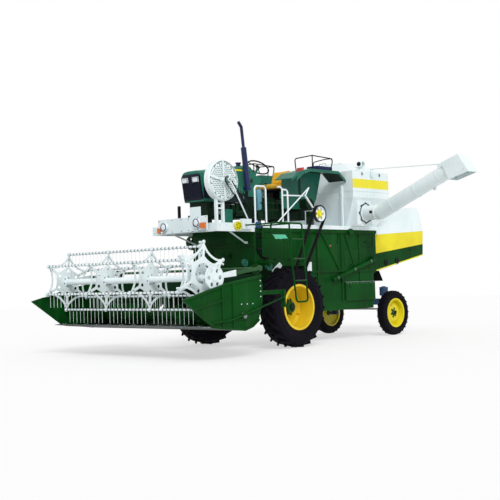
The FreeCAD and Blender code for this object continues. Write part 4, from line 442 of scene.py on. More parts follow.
class Palette:
    """Every finish of the machine, made on first use."""

    def __init__(self) -> None:
        """Set out the finishes."""
        self.made: dict[str, bpy.types.Material] = {}
        self.finishes = {**self._painted(), **self._bare(), **self._fabric_and_lenses()}

    @staticmethod
    def _painted() -> dict[str, Finish]:
        """Enamels of the combine and its tractor, with their bands and marks.

        Returns:
            The finishes by name.
        """
        white = Finish("white_enamel", "white_paint", WHITE, linear(216, 230, 233), 0.34, coat=0.15, specular=0.3,
                       dust=0.08)
        green = Finish("field_green", "green_paint", GREEN, linear(3, 55, 14), 0.42, specular=0.06, dust=0.015,
                       streak=0.03, wear=0.2)
        teal = Finish("tractor_green", "green_paint", linear(38, 112, 92), linear(30, 94, 78), 0.36, coat=0.05,
                      specular=0.15, dust=0.02, streak=0.04)
        yellow = Finish("band_yellow", "yellow_paint", YELLOW, linear(214, 196, 18), 0.38, coat=0.08, dust=0.06)
        nose_slant = ((1.0, 0.0, -0.15), 0.820 + DATUM.x, 9.0 + DATUM.x)
        skid_slant = ((0.09, 0.0, 1.0), 1.232 + DATUM.x * 0.09, 9.0)
        wheel_marks = {side: Disc(tuple(middle(side + "_rim_left")), radius, GREEN)
                       for side, radius in (("front", 0.140), ("rear", 0.062))}
        pulley = (Disc(tuple(at(-1.078, 0.8, 2.288)), radius, colour)
                  for radius, colour in ((0.16, DARK), (0.132, WHITE), (0.076, YELLOW)))
        return {
            "white": white,
            "tank": white.variant("tank_enamel", *pair((-OPEN, -0.010, 2.79), (OPEN, 0.010, 2.96), 0.955, YELLOW)),
            "arms": white.variant("reel_arm_enamel", area((1.3, -2.0, 1.0), (2.03, 2.0, 1.6), GREEN)),
            "pulley": white.variant("pulley_enamel", *pulley,
                                    area((-1.5, -0.5, 2.0), (-0.8, 0.745, 2.55), DARK_GREEN)),
            "green": green,
            # Painted shade: the table's floor and inner faces between the back wall and the knife take a near-black
            # green, for the shade under the reel.
            "header": green.variant(
                "header_green", area((1.56, -1.816, -OPEN), (2.72, 1.816, OPEN), linear(8, 44, 20)),
                area((2.86, -1.9, -OPEN), (OPEN, -1.815, OPEN), WHITE, skid_slant)),
            "ladder": green.variant("ladder_green",
                                    area((0.44, 1.39, 1.795), (0.83, 1.41, 1.87), linear(92, 186, 150))),
            "hood_green": green.variant("hood_green", hem_area(0.014, 0.034, YELLOW), hem_area(-0.01, 0.014, WHITE)),
            "teal": teal,
            # Painted shade: the insides and undersides of both mudguards take a near-black green.
            "fenders": teal.variant("mudguard_green", *pair((-1.93, -0.187, 2.2), (-0.80, 0.187, 3.079), 0.603,
                                                            linear(6, 26, 16))),
            "bonnet": teal.variant(
                "bonnet_green", *pair((0.30, -0.12, 3.024), (0.53, 0.12, 3.052), 0.3, YELLOW),
                *pair((-0.2, -0.12, 2.3), (0.95, 0.12, 2.69), 0.3, linear(14, 34, 36)),
                area((-OPEN, -0.232, 2.505), (OPEN, 0.232, 2.945), NAVY, nose_slant)),
            "yellow": yellow,
            "rim": yellow.variant("rim_yellow", wheel_marks["front"], colour=linear(232, 204, 36),
                                  second=linear(214, 170, 22), wear_colour=(0.30, 0.17, 0.03)),
            "rear_rim": yellow.variant("rear_rim_yellow", wheel_marks["rear"], dust=0.08),
            "dark_green": Finish("casting_green", "dark_green_paint", DARK_GREEN, linear(7, 30, 16), 0.5,
                                 specular=0.1, dust=0.02, streak=0.03),
            "axle": Finish("axle_blue", "steel", linear(52, 84, 122), linear(34, 56, 84), 0.46, dust=0.14),
            "stack": Finish("stack_blue", "stack_paint", linear(30, 48, 96), linear(18, 26, 54), 0.36, coat=0.2,
                            dust=0.02, wear_colour=linear(96, 64, 44)),
            "pale_blue": Finish("oil_tank_blue", "white_paint", PALE_BLUE, linear(82, 132, 146), 0.4, coat=0.1,
                                dust=0.05),
        }

    @staticmethod
    def _bare() -> dict[str, Finish]:
        """Bare metal, rubber and black plastic.

        Returns:
            The finishes by name.
        """
        steel = Finish("bright_steel", "steel", linear(150, 156, 160), linear(120, 124, 128), 0.38, metallic=1.0,
                       **UNWORN)
        black = Finish("black_plastic", "dark_mesh", linear(20, 22, 28), linear(14, 15, 20), 0.5, specular=0.12,
                       dust=0.02, wear=0.1, streak=0.0)
        fittings = (area((0.9, 0.79, 1.9), (1.1, 0.9, 2.2), YELLOW),
                    area((0.79, 0.39, 2.0), (0.99, 0.51, 2.4), linear(38, 112, 92)),
                    area((0.0, 0.38, 2.345), (0.2, 0.52, 2.7), PALE_BLUE),
                    area((0.0, 0.38, 2.0), (0.2, 0.52, 2.345), DARK_GREEN),
                    area((0.8, -0.8, 2.0), (1.0, -0.6, 2.6), DARK), area((0.38, 0.6, 2.0), (0.58, 0.95, 2.3), NAVY))
        return {
            "steel": steel,
            "fittings": steel.variant("deck_fitting_metal", *fittings, metallic=0.5),
            "galvanised": steel.variant("galvanised_sheet", roughness=0.5, metallic=0.8, mottle=14.0),
            "black": black,
            "grille": black.variant("grille_mesh", colour=NAVY, second=linear(12, 16, 32)),
            "rotor": black.variant("rotor_disc", colour=linear(104, 134, 130), second=linear(78, 108, 104)),
            "rubber": Finish("tyre_black", "tyre_rubber", linear(12, 9, 20), linear(7, 6, 13), 0.78, specular=0.1,
                             dust=0.03, dust_high=0.6, **UNWORN, dust_colour=linear(96, 88, 84),
                             grain=70.0, bump=0.001),
            "belt": Finish("belt_rubber", "belt_rubber", linear(17, 17, 21), linear(12, 12, 15), 0.7, dust=0.05,
                           **UNWORN),
        }

    @staticmethod
    def _fabric_and_lenses() -> dict[str, Finish]:
        """Vinyl of the seat and pad, lamp glass, lenses and dial faces.

        Returns:
            The finishes by name.
        """
        lens = Finish("lamp_lens", "lamp_lens", linear(234, 242, 246), linear(220, 230, 236), 0.12, coat=0.8,
                      dust=0.05, **UNWORN)
        vinyl = Finish("seat_vinyl", "seat_vinyl", linear(222, 176, 48), linear(204, 156, 40), 0.55, dust=0.05,
                       grain=260.0, bump=0.0008, **UNWORN)
        roof_lamps = area((-1.0, -1.0, 2.9), (-0.5, 1.0, 3.3), linear(188, 40, 30))
        return {
            "lens": lens,
            "lamps": lens.variant("lamp_bodies"),
            "dial": lens.variant("dial_face", colour=linear(24, 24, 26), second=linear(30, 30, 32)),
            "orange": Finish("orange_lens", "orange_lens", linear(228, 120, 28), linear(206, 98, 18), 0.16, coat=0.6,
                             dust=0.05, accents=(roof_lamps,), **UNWORN),
            "red": Finish("reflector_red", "orange_lens", linear(128, 40, 26), linear(104, 30, 20), 0.2, coat=0.6,
                          dust=0.05, **UNWORN),
            "vinyl": vinyl,
            "blue_pad": vinyl.variant("pad_vinyl", colour=linear(26, 40, 88), second=linear(18, 28, 66),
                                      roughness=0.5, dust=0.1),
        }

    def get(self, name: str) -> bpy.types.Material:
        """The material of a finish, made on first use.

        Args:
            name: the finish.

        Returns:
            Its material.
        """
        if name not in self.made:
            self.made[name] = self.finishes[name].make()
        return self.made[name]


# finish of the CAD nodes whose names start so; the rest are white
NODE_FINISHES = {
    "rubber": ("front_tyre", "rear_tyre"),
    "rim": ("front_rim",),
    "rear_rim": ("rear_rim",),
    "yellow": ("hood_band",),
    "hood_green": ("hood_lower",),
    "green": ("thresher_body", "frame_beams", "feeder_house", "reel_posts", "crop_auger"),
    "header": ("header_pan",),
    "ladder": ("ladder",),
    "bonnet": ("tractor_bonnet",),
    "fenders": ("fenders",),
    "teal": ("dash",),
    "dark_green": ("tractor_engine",),
    "grille": ("tractor_grille",),
    "black": ("fender_rails", "steering_wheel", "lift_barrels", "drum_pulley"),
    "stack": ("exhaust",),
    "rotor": ("screen_rotor",),
    "belt": ("drive_belt",),
    "axle": ("knuckle", "rear_axle"),
    "steel": ("tie_rod", "cutter_bar", "lift_rods"),
    "orange": ("indicators",),
    "lamps": ("headlamps",),
    "vinyl": ("seat",),
    "tank": ("tank_hopper",),
    "arms": ("reel_arms",),
    "pulley": ("belt_drive",),
    "fittings": ("deck_fittings",),
}


# ------------------------------------------------------------------ piece making
class Form(Enum):
    """Fastener heads."""
    HEX = 6
    ROUND = 12


def across(way: Point) -> tuple[Vector, Vector, Vector]:
    """Unit vectors along a direction and square to it.

    Args:
        way: the direction.

    Returns:
        The vector along it, and two square to it and to each other.
    """
    along = Vector(way).normalized()
    side = along.orthogonal().normalized()
    return along, side, along.cross(side)


def circle(centre: Vector, side: Vector, up: Vector, radius: float, count: int) -> list[Vector]:
    """Points evenly round a centre, in the plane of two unit vectors."""
    turns = (2 * math.pi * step / count for step in range(count))
    return [centre + (side * math.cos(turn) + up * math.sin(turn)) * radius for turn in turns]


def swing(centre: Point, turn: float, reach: float) -> Point:
    """Point at a reach from a centre, turned in radians from ahead to up."""
    return centre[0] + reach * math.cos(turn), centre[1], centre[2] + reach * math.sin(turn)


def ring(inner: float, outer: float, low: float, high: float) -> Profile:
    """Profile of a ring with a square section, open in the middle."""
    return [(low, inner), (low, outer), (high, outer), (high, inner), (low, inner)]


def smooth(mesh: bpy.types.Mesh) -> None:
    """Shade every face smoothly."""
    mesh.polygons.foreach_set("use_smooth", [True] * len(mesh.polygons))


class Maker:
    """Gathers formed metal, rods and fasteners into one named piece, made when its with block ends."""
    ROUNDING = {"segments": 2, "profile": 0.7, "affect": "EDGES"}
    CURVE_STEPS = 5
    SHARP_ANGLE = math.radians(35)
    JOIN = 0.001

    def __init__(self, name: str, body: str, finish: str, palette: Palette) -> None:
        """Start an empty piece.

        Args:
            name: the piece's name.
            body: the CAD body that it moves with.
            finish: name of its finish in the palette.
            palette: the machine's finishes.
        """
        self.name, self.body, self.finish, self.palette = name, body, finish, palette
        self.mesh = bmesh.new()

    def __enter__(self) -> "Maker":
        """The maker itself."""
        return self

    def __exit__(self, kind: object, *_: object) -> None:
        """Make the piece, unless the block failed."""
        if kind is None:
            self.done()

    def box(self, low: Point, high: Point, round_off: float = 0.002) -> None:
        """Box with rounded edges between two corners of the machine's frame.

        Args:
            low: lowest corner.
            high: highest corner.
            round_off: width of the rounding.
        """
        size = Vector(high) - Vector(low)
        place = Matrix.Translation(at(*low) + size / 2) @ Matrix.Diagonal((*size, 1.0))
        self._round(bmesh.ops.create_cube(self.mesh, size=1.0, matrix=place)["verts"], round_off)

    def slab(self, outline: list[Point], way: Point, round_off: float = 0.002) -> None:
        """Outline of machine points drawn out along a vector, with rounded edges.

        Args:
            outline: corners in order.
            way: vector of the draw.
            round_off: width of the rounding.
        """
        base = [self.mesh.verts.new(at(*point)) for point in outline]
        top = [self.mesh.verts.new(at(*point) + Vector(way)) for point in outline]
        faces = [self.mesh.faces.new(base), self.mesh.faces.new(top[::-1])]
        for index in range(len(base)):
            after = (index + 1) % len(base)
            faces.append(self.mesh.faces.new((base[after], base[index], top[index], top[after])))
        bmesh.ops.recalc_face_normals(self.mesh, faces=faces)
        self._round(base + top, round_off)

    def _round(self, corners: list, width: float) -> None:
        """Round the edges between some vertices.

        Args:
            corners: the vertices.
            width: of the rounding; none if 0.
        """
        if width:
            chosen = set(corners)
            edges = [edge for edge in self.mesh.edges if chosen.issuperset(edge.verts)]
            bmesh.ops.bevel(self.mesh, geom=edges, offset=width, **self.ROUNDING)

    def tube(self, route: list[Point], radius: float, sides: int = 8, bend: float = 0.0) -> None:
        """Rod along a route of machine points, its corners bent round.

        Args:
            route: points of the rod's line.
            radius: the rod's radius.
            sides: facets round it.
            bend: radius of the corners.
        """
        line = self._bent([at(*point) for point in route], bend)
        rings = []
        side = None
        for before, spot, after in zip([line[0], *line], line, [*line[1:], line[-1]]):
            along = (after - before).normalized()
            side = side or along.orthogonal().normalized()
            side = (side - along * side.dot(along)).normalized()
            spots = circle(spot, side, along.cross(side), radius, sides)
            rings.append([self.mesh.verts.new(spot) for spot in spots])
        for ring_now, following in zip(rings, rings[1:]):
            for step in range(sides):
                after = (step + 1) % sides
                self.mesh.faces.new((ring_now[step], ring_now[after], following[after], following[step]))
        self.mesh.faces.new(rings[0][::-1])
        self.mesh.faces.new(rings[-1])

    def _bent(self, line: list[Vector], bend: float) -> list[Vector]:
        """The line with its corners turned into short curves.

        Args:
            line: its points.
            bend: how far from a corner its curve starts.

        Returns:
            The curved line.
        """
        if not bend:
            return line
        result = [line[0]]
        for before, corner, after in zip(line, line[1:], line[2:]):
            start, end = (corner + (other - corner).normalized() * min(bend, (other - corner).length / 2)
                          for other in (before, after))
            for step in range(self.CURVE_STEPS + 1):
                share = step / self.CURVE_STEPS
                result.append(start * (1 - share) ** 2 + corner * 2 * share * (1 - share) + end * share ** 2)
        return result + [line[-1]]

    def turned(self, start: Point, way: Point, profile: Profile, sides: int = 20) -> None:
        """Turned form: a profile spun about a line, open in its middle if it ends where it begins.

        Args:
            start: machine point where the distances begin.
            way: direction of the line.
            profile: distance along the line and radius, in order.
            sides: facets round it.
        """
        along, side, up = across(way)
        looped = profile[0] == profile[-1]
        rings = []
        for distance, radius in profile[:-1] if looped else profile:
            spots = circle(at(*start) + along * distance, side, up, radius, sides if radius else 1)
            rings.append([self.mesh.verts.new(spot) for spot in spots])
        faces = []
        for ring_now, following in zip(rings, rings[1:] + rings[:1] if looped else rings[1:]):
            for step in range(sides):
                after = (step + 1) % sides
                corners = [ring_now[step % len(ring_now)], ring_now[after % len(ring_now)],
                           following[after % len(following)], following[step % len(following)]]
                unique = list(dict.fromkeys(corners))
                if len(unique) > 2:
                    faces.append(self.mesh.faces.new(unique))
        faces += [self.mesh.faces.new(end) for end in (rings[0], rings[-1]) if len(end) > 1 and not looped]
        bmesh.ops.recalc_face_normals(self.mesh, faces=faces)

    def bolt(self, spot: Point, way: Point, size: float = 0.010, form: Form = Form.HEX) -> None:
        """Fastener head with its washer.

        Args:
            spot: machine point on the face.
            way: direction out of the face.
            size: radius across the head's corners.
            form: hexagon or round head.
        """
        self.turned(spot, way, [(-self.JOIN, size * 1.5), (size * 0.22, size * 1.5), (size * 0.24, size * 1.3)], 12)
        height, shoulder, waist, top = (0.9, 0.8, 1.0, 0.8) if form is Form.HEX else (0.6, 0.5, 0.9, 0.5)
        low, rise = size * 0.2, size * height
        self.turned(spot, way, [(low, size), (low + rise * shoulder, size * waist), (low + rise, size * top)],
                    form.value)

    def bolt_ring(self, centre: Point, way: Point, radius: float, count: int, size: float) -> None:
        """Ring of bolts about a line.

        Args:
            centre: machine point at the ring's middle, on the face.
            way: direction out of the face.
            radius: of the ring.
            count: how many bolts.
            size: of each head.
        """
        _, side, up = across(way)
        for spot in circle(Vector(centre), side, up, radius, count):
            self.bolt(tuple(spot), way, size)

    def row(self, start: Point, end: Point, count: int, way: Point, size: float = 0.008,
            form: Form = Form.HEX) -> None:
        """Evenly spaced fasteners between two points.

        Args:
            start: first fastener.
            end: last fastener.
            count: how many, two or more.
            way: direction out of the face.
            size: of each head.
            form: of each head.
        """
        for index in range(count):
            self.bolt(tuple(Vector(start).lerp(Vector(end), index / (count - 1))), way, size, form)

    def seams(self, y: float, way: Point, rows: tuple, form: Form = Form.HEX) -> None:
        """Rows of fasteners on one upright face that looks left or right.

        Args:
            y: where the face is.
            way: direction out of the face.
            rows: start X and Z, end X and Z, count and size of each row.
            form: of each head.
        """
        for x0, z0, x1, z1, count, size in rows:
            self.row((x0, y, z0), (x1, y, z1), count, way, size, form)

    def done(self) -> bpy.types.Object:
        """Turn what was gathered into the piece, with its finish and body.

        Returns:
            The finished object.
        """
        mesh = bpy.data.meshes.new(self.name)
        self.mesh.to_mesh(mesh)
        self.mesh.free()
        mesh.materials.append(self.palette.get(self.finish))
        smooth(mesh)
        mesh.set_sharp_from_angle(angle=self.SHARP_ANGLE)
        piece = bpy.data.objects.new(self.name, mesh)
        bpy.context.scene.collection.objects.link(piece)
        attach(piece, self.body)
        log.info("made %s: %d faces, rides on %s", self.name, len(mesh.polygons), self.body)
        return piece


@dataclass
class Assembly:
    """A sub-assembly that is dressed with small pieces."""
    palette: Palette

    def piece(self, name: str, finish: str, body: str = "chassis") -> Maker:
        """An empty piece in one of the palette's finishes."""
        return Maker(name, body, finish, self.palette)


# ------------------------------------------------------------------ wheels
@dataclass
class Wheels(Assembly):
    """Nuts, caps, clamps and valves of the four wheels."""
    front_disc: float = 0.915
    front_hub: float = 1.045
    front_z: float = 0.674
    nut_circle: float = 0.160
    nuts: int = 8
    clamps: int = 8
    clamp_reach: float = 0.315
    rear_x: float = -3.25
    rear_disc: float = 0.816
    rear_hub: float = 0.850
    rear_z: float = 0.429

    def build(self) -> None:
        """Dress all four wheels."""
        for side in Side:
            self._front(side)
            self._rear(side)

    def _front(self, side: Side) -> None:
        """Nuts on the flat disc, bolts on the hub, its cap, and clamps round the barrel's lip.

        Args:
            side: the wheel's side.
        """
        body, out, z = "front_wheel" + side.label, side.out, self.front_z
        with self.piece("front_wheel_nuts" + side.label, "green", body) as nuts:
            nuts.bolt_ring((0, side * self.front_disc, z), out, self.nut_circle, self.nuts, 0.019)
            nuts.bolt_ring((0, side * self.front_hub, z), out, 0.068, 8, 0.009)
        with self.piece("front_hub_cap" + side.label, "dark_green", body) as cap:
            cap.turned((0, side * (self.front_hub - 0.002), z), out,
                       [(0, 0.056), (0.018, 0.055), (0.034, 0.044), (0.042, 0.022), (0.043, 0.0)], 24)
        with self.piece("front_rim_clamps" + side.label, "rim", body) as clamps:
            for index in range(self.clamps):
                turn = 2 * math.pi * (index + 0.5) / self.clamps
                clamps.turned(swing((0.0, side * (self.front_disc + 0.008), z), turn, self.clamp_reach),
                              (math.cos(turn), 0, math.sin(turn)),
                              [(-0.03, 0.010), (-0.03, 0.018), (0.026, 0.018), (0.028, 0.008)], 8)
                clamps.bolt(swing((0.0, side * (self.front_disc + 0.025), z), turn, 0.30), out)
        with self.piece("front_valve" + side.label, "black", body) as valve:
            valve.tube([(x, side * (self.front_disc + proud), z + up)
                        for x, proud, up in ((0.16, 0.01, 0.285), (0.155, 0.035, 0.28), (0.145, 0.05, 0.262))],
                       0.0045, bend=0.01)

    def _rear(self, side: Side) -> None:
        """Nuts, cap and valve of a steering wheel.

        Args:
            side: the wheel's side.
        """
        body, out, x, z = "rear_wheel" + side.label, side.out, self.rear_x, self.rear_z
        with self.piece("rear_wheel_nuts" + side.label, "green", body) as nuts:
            nuts.bolt_ring((x, side * self.rear_disc, z), out, 0.080, 6, 0.013)
        with self.piece("rear_hub_cap" + side.label, "dark_green", body) as cap:
            cap.turned((x, side * (self.rear_hub - 0.003), z), out,
                       [(0, 0.037), (0.012, 0.037), (0.022, 0.028), (0.026, 0.012), (0.0265, 0.0)])
            cap.bolt_ring((x, side * (self.rear_hub + 0.008), z), out, 0.024, 4, 0.004)
        with self.piece("rear_valve" + side.label, "black", body) as valve:
            valve.tube([(x + 0.10, side * 0.818, z + 0.15), (x + 0.098, side * 0.84, z + 0.146)], 0.004)


# ------------------------------------------------------------------ threshing body
@dataclass
class Thresher(Assembly):
    """Bolt rows, doors, latches and plates of the green housing."""
    half: float = 0.750
    rib: float = 0.768
    ledge: float = 0.775
    sieve_face: float = 0.780
    top: float = 1.99
    front: float = 0.570
    ribs: tuple[float, ...] = (-1.07, -1.76, -2.30)
    doors: tuple = ((-1.02, -0.16, 1.46, 1.90), (-0.06, 0.48, 1.46, 1.90), (-2.26, -1.84, 1.34, 1.66))
    latches: tuple = ((-0.30, 1.49), (-0.88, 1.49), (0.05, 1.49), (0.38, 1.49), (-2.05, 1.37))

    def build(self) -> None:
        """Dress both sides and the front."""
        ribs = [(x, z0, x, z1, count, 0.009) for x in self.ribs
                for z0, z1, count in ((0.80, 1.22, 4), (1.33, 1.92, 6))]
        braces = ((-1.20, 1.92, -1.71, 1.30, 6, 0.008), (-1.88, 1.92, -2.18, 1.30, 6, 0.008),
                  (-2.725, 1.735, -2.345, 1.735, 5, 0.006), (-2.725, 1.918, -2.345, 1.918, 5, 0.006))
        for side in Side:
            with self.piece("thresher_bolts" + side.label, "green") as bolts:
                bolts.seams(side * self.ledge, side.out, ((0.50, self.top, -2.78, self.top, 34, 0.009),))
                bolts.seams(side * self.rib, side.out, (*ribs, *braces))
                bolts.seams(side * self.half, side.out, ((0.50, 1.40, -0.75, 1.40, 12, 0.008),))
            self._doors(side)
        self._front_face()
        self._left_marks()
        self._left_runs()

    def _doors(self, side: Side) -> None:
        """Sheet doors on the side with folded lips, hinges and turn latches.

        Args:
            side: the side to dress.
        """
        out, half, sieve = side.out, self.half, self.sieve_face
        low, high = side.span(half, half + 0.006)
        with self.piece("thresher_doors" + side.label, "green") as doors:
            for x0, x1, z0, z1 in self.doors:
                doors.box((x0, low, z0), (x1, high, z1), 0.003)
                for share in (0.2, 0.8):
                    doors.turned((x0 + (x1 - x0) * share - 0.03, side * (half + 0.010), z1 + 0.006), AHEAD,
                                 [(0, 0.008), (0.06, 0.008)], 8)
        with self.piece("thresher_latches" + side.label, "green") as latches:
            for x, z in self.latches:
                latches.turned((x, side * (half + 0.005), z), out,
                               [(0, 0.016), (0.008, 0.016), (0.010, 0.007), (0.02, 0.007)], 12)
                latches.tube([(x - 0.022, side * (half + 0.02), z), (x + 0.03, side * (half + 0.02), z + 0.01)],
                             0.005)
            for x in (-1.95, -2.6):
                latches.turned((x, side * sieve, 0.98), out, [(0, 0.02), (0.01, 0.02), (0.014, 0.008)], 12)
                latches.tube([(x + reach, side * (sieve + 0.016), 0.98) for reach in (-0.035, 0.035)], 0.006)
            latches.tube([(x, side * (half + proud), 1.80) for x, proud in
                          ((-2.60, 0.005), (-2.60, 0.045), (-2.46, 0.045), (-2.46, 0.005))], 0.007, bend=0.018)
        low, high = side.span(half, sieve + 0.004)
        with self.piece("sieve_box_lip" + side.label, "galvanised") as lip:
            lip.box((-2.73, low, 1.051), (-1.83, high, 1.060), 0.003)
            lip.seams(side * sieve, out, ((-2.66, 1.03, -1.90, 1.03, 9, 0.006),), Form.ROUND)

    def _front_face(self) -> None:
        """Bolts, cover plates and a grab rail on the front."""
        sheet = self.front - 0.02
        with self.piece("thresher_front_bolts", "green") as bolts:
            for x, z in ((self.front, 1.74), (sheet, 1.40)):
                bolts.row((x, -0.70, z), (x, 0.70, z), 15, AHEAD)
            for y, z in ((0.49, 1.45), (0.13, 1.58)):
                bolts.bolt_ring((self.front + 0.005, y, z), AHEAD, 0.042, 4, 0.007)
        with self.piece("thresher_front_plates", "green") as plates:
            for y0, y1, z0, z1 in ((-0.68, -0.26, 1.46, 1.69), (-0.20, 0.02, 1.46, 1.69),
                                   (-0.62, 0.62, 1.79, 1.93)):
                plates.box((self.front - 0.021, y0, z0), (self.front - 0.013, y1, z1), 0.003)
        with self.piece("thresher_front_rail", "white") as rail:
            rail.tube([(self.front + proud, y, 1.65) for proud, y in
                       ((-0.01, -0.60), (0.06, -0.60), (0.06, -0.34), (-0.01, -0.34))], 0.011, 12, 0.03)

    def _left_runs(self) -> None:
        """Two guide rollers, and the oil pipes at the front left corner, whose dark rubber also paints the corner's
        shade.
        """
        with self.piece("guide_rollers", "teal") as rollers:
            for x, y, z, radius in ((0.650, 0.580, 1.438, 0.062), (0.252, 0.752, 1.375, 0.078)):
                rollers.turned((x, y, z), LEFT, [(along, radius * share) for along, share in (
                    (0.0, 0.86), (0.004, 1), (0.014, 1), (0.018, 0.80), (0.030, 0.80), (0.034, 1), (0.044, 1),
                    (0.048, 0.86), (0.040, 0.62), (0.040, 0.34), (0.058, 0.30), (0.060, 0.0))], 28)
            rollers.box((0.552, 0.560, 1.412), (0.660, 0.579, 1.464), 0.003)
            rollers.seams(0.579, LEFT, ((0.560, 1.425, 0.560, 1.451, 2, 0.006),))
        # Partly painted shade: these dark hoses also lie along the dark shade at the body's front left corner.
        with self.piece("oil_pipes_and_shade_left", "rubber") as pipes:
            for shift in (0.0, 0.045, 0.090):
                pipes.tube([(0.50 - shift, 0.764, 1.93), (0.50 - shift, 0.764, 1.60 - shift),
                            (0.36 - shift, 0.764, 1.52 - shift), (0.20 - shift, 0.764, 1.50 - shift)],
                           0.011, 10, 0.05)
        with self.piece("oil_pipe_clips", "black") as clips:
            for z in (1.86, 1.66):
                clips.box((0.385, 0.750, z), (0.525, 0.778, z + 0.018), 0.003)
                clips.bolt((0.480, 0.778, z + 0.009), LEFT, 0.006)

    def _left_marks(self) -> None:
        """Pale plates by the left wheel arch, and a reflector and the cross tube's clamps on each side."""
        arch = ((-0.050, 1.438), (-0.112, 1.384), (-0.071, 1.323), (0.007, 1.353), (0.074, 1.337), (0.140, 1.270),
                (0.156, 1.301))
        with self.piece("arch_plates", "white") as plates:
            plates.slab([(x, 0.751, z) for x, z in arch], (0.0, 0.005, 0.0), 0.001)
            plates.box((-0.90, 0.751, 1.275), (-0.78, 0.756, 1.435))
            plates.seams(0.756, LEFT, ((-0.06, 1.385, 0.11, 1.318, 2, 0.005),))
            plates.bolt((-0.84, 0.756, 1.41), LEFT, 0.006)
        for side in Side:
            with self.piece("side_reflector" + side.label, "red") as spot:
                spot.turned((-1.44, side * self.half, 1.72), side.out,
                            [(0, 0.024), (0.012, 0.024), (0.018, 0.018), (0.020, 0.0)])
            with self.piece("cross_tube_clamps" + side.label, "steel") as bands:
                for share in (0.10, 0.50, 0.90):
                    x, z = -1.42 - 1.27 * share, 1.10 + 0.366 * share
                    bands.turned((x + 0.008, side * 0.812, z - 0.002), (-1.27, 0, 0.366),
                                 [(0, 0.034), (0, 0.037), (0.02, 0.037), (0.02, 0.034)], 18)


# ------------------------------------------------------------------ deck, ladder and rails
@dataclass
class Deck(Assembly):
    """Tread strips, edge bolts, rung grips, rail feet, and the small parts that stand on the deck."""
    top: float = 2.090
    half: float = 0.785
    front: float = 1.450
    ladder_y: float = 1.400
    rungs: tuple[float, ...] = (1.115, 1.472, 1.793)
    treads: int = 34
    tread_start: float = 1.36
    tread_step: float = 0.072
    grips: int = 7
    pulley_holes: int = 6

    def build(self) -> None:
        """Dress the deck, the ladder, the rails and what stands on the deck."""
        with self.piece("deck_edge_bolts", "white") as bolts:
            for side in Side:
                z = self.top - 0.035
                bolts.seams(side * self.half, side.out, ((1.38, z, -2.88, z, 30, 0.008),))
            bolts.row((self.front, -0.72, self.top - 0.10), (self.front, 0.72, self.top - 0.10), 9, AHEAD)
        with self.piece("deck_tread", "galvanised") as tread:
            for side in Side:
                low, high = side.span(0.575, 0.715)
                for index in range(self.treads):
                    x = self.tread_start - index * self.tread_step
                    if side is Side.RIGHT or not 0.75 < x < 1.2:
                        corners = ((x, low), (x + 0.020, low), (x + 0.045, high), (x + 0.025, high))
                        tread.slab([(*corner, self.top) for corner in corners], (0, 0, 0.003), 0.0)
        self._ladder()
        self._rail_feet()
        self._lamps_and_tank()
        self._drive()

    def _ladder(self) -> None:
        """Ribbed grips on the rungs and bolts at the deck."""
        y, z_deck = self.ladder_y, self.top - 0.03
        with self.piece("rung_grips", "galvanised") as grips:
            for z in self.rungs:
                share = (z - 0.77) / 1.15
                x0, x1 = -0.01 + 0.08 * share + 0.02, 0.28 + 0.12 * share - 0.02
                for index in range(self.grips):
                    x = x0 + (x1 - x0) * index / self.grips + 0.008
                    grips.box((x, y - 0.018, z + 0.008), (x + 0.016, y + 0.022, z + 0.013), 0.001)
        with self.piece("ladder_bolts", "steel") as ends:
            for x in (0.412, 0.843):
                ends.bolt((x, self.half + 0.06, z_deck), UP, 0.009)
                ends.bolt((x, y - 0.06, z_deck), UP, 0.009)

    def _rail_feet(self) -> None:
        """Round foot plates with bolts under the handrails."""
        with self.piece("rail_feet", "white") as feet:
            for x in (0.51, 0.24, -0.18, -0.32):
                feet.turned((x, self.half - 0.040, self.top + 0.0004), UP,
                            [(0, 0.0165), (0, 0.032), (0.006, 0.032), (0.007, 0.0165)])
                feet.bolt_ring((x, self.half - 0.040, self.top + 0.006), UP, 0.025, 3, 0.004)

    def _lamps_and_tank(self) -> None:
        """Rims and glasses of the board's lamps, and the oil tank's cap."""
        rims, glasses = self.piece("board_lamp_rims", "black"), self.piece("board_lamp_glasses", "lens")
        for y, z in ((-0.38, 2.07), (0.413, 2.10)):
            rims.turned((1.565, y, z), AHEAD, [(0, 0.056), (0, 0.068), (0.006, 0.067), (0.008, 0.062),
                                               (0.006, 0.056), (0, 0.056)], 36)
            glasses.turned((1.5655, y, z), AHEAD, [(0, 0.056), (0.006, 0.050), (0.010, 0.028), (0.012, 0.0)], 28)
        rims.done()
        glasses.done()
        with self.piece("oil_tank_cap", "pale_blue") as cap:
            cap.turned((0.100, 0.450, 2.584), UP, [(0, 0.055), (0.095, 0.055), (0.108, 0.046), (0.116, 0.024),
                                                   (0.132, 0.022), (0.134, 0.0)], 28)

    def _drive(self) -> None:
        """Black discs painted as shade in the guide pulley's holes, the drive's hub and the board's bolts."""
        centre = (1.0, 0.8302, 2.04)
        with self.piece("guide_pulley_hole_shade", "black") as holes:
            holes.turned(centre, LEFT, [(0, 0.018), (0.006, 0.016), (0.008, 0.0)], 16)
            # Painted shade: thin black discs on the pulley's face stand for its holes, dark with the shade behind
            # them.
            for index in range(self.pulley_holes):
                holes.turned(swing(centre, math.radians(index * 360 / self.pulley_holes + 15), 0.042), LEFT,
                             [(0, 0.012), (0.0006, 0.012), (0.0008, 0.0)], 14)
        with self.piece("drive_hub", "axle") as hub:
            hub.turned((0.503, 0.7855, 2.061), LEFT, [(0, 0.062), (0.030, 0.062), (0.046, 0.052), (0.050, 0.032),
                                                      (0.066, 0.032), (0.068, 0.0)], 28)
            hub.bolt_ring((0.503, 0.816, 2.061), LEFT, 0.050, 6, 0.006)
        with self.piece("board_bolts", "steel") as board:
            for y in (-0.53, -0.20, 0.02, 0.20):
                for z in (1.985, 2.175):
                    board.bolt((1.525, y, z), AHEAD, 0.007)
            board.row((1.52, 0.60, 1.99), (1.52, 0.60, 2.19), 3, AHEAD, 0.006)


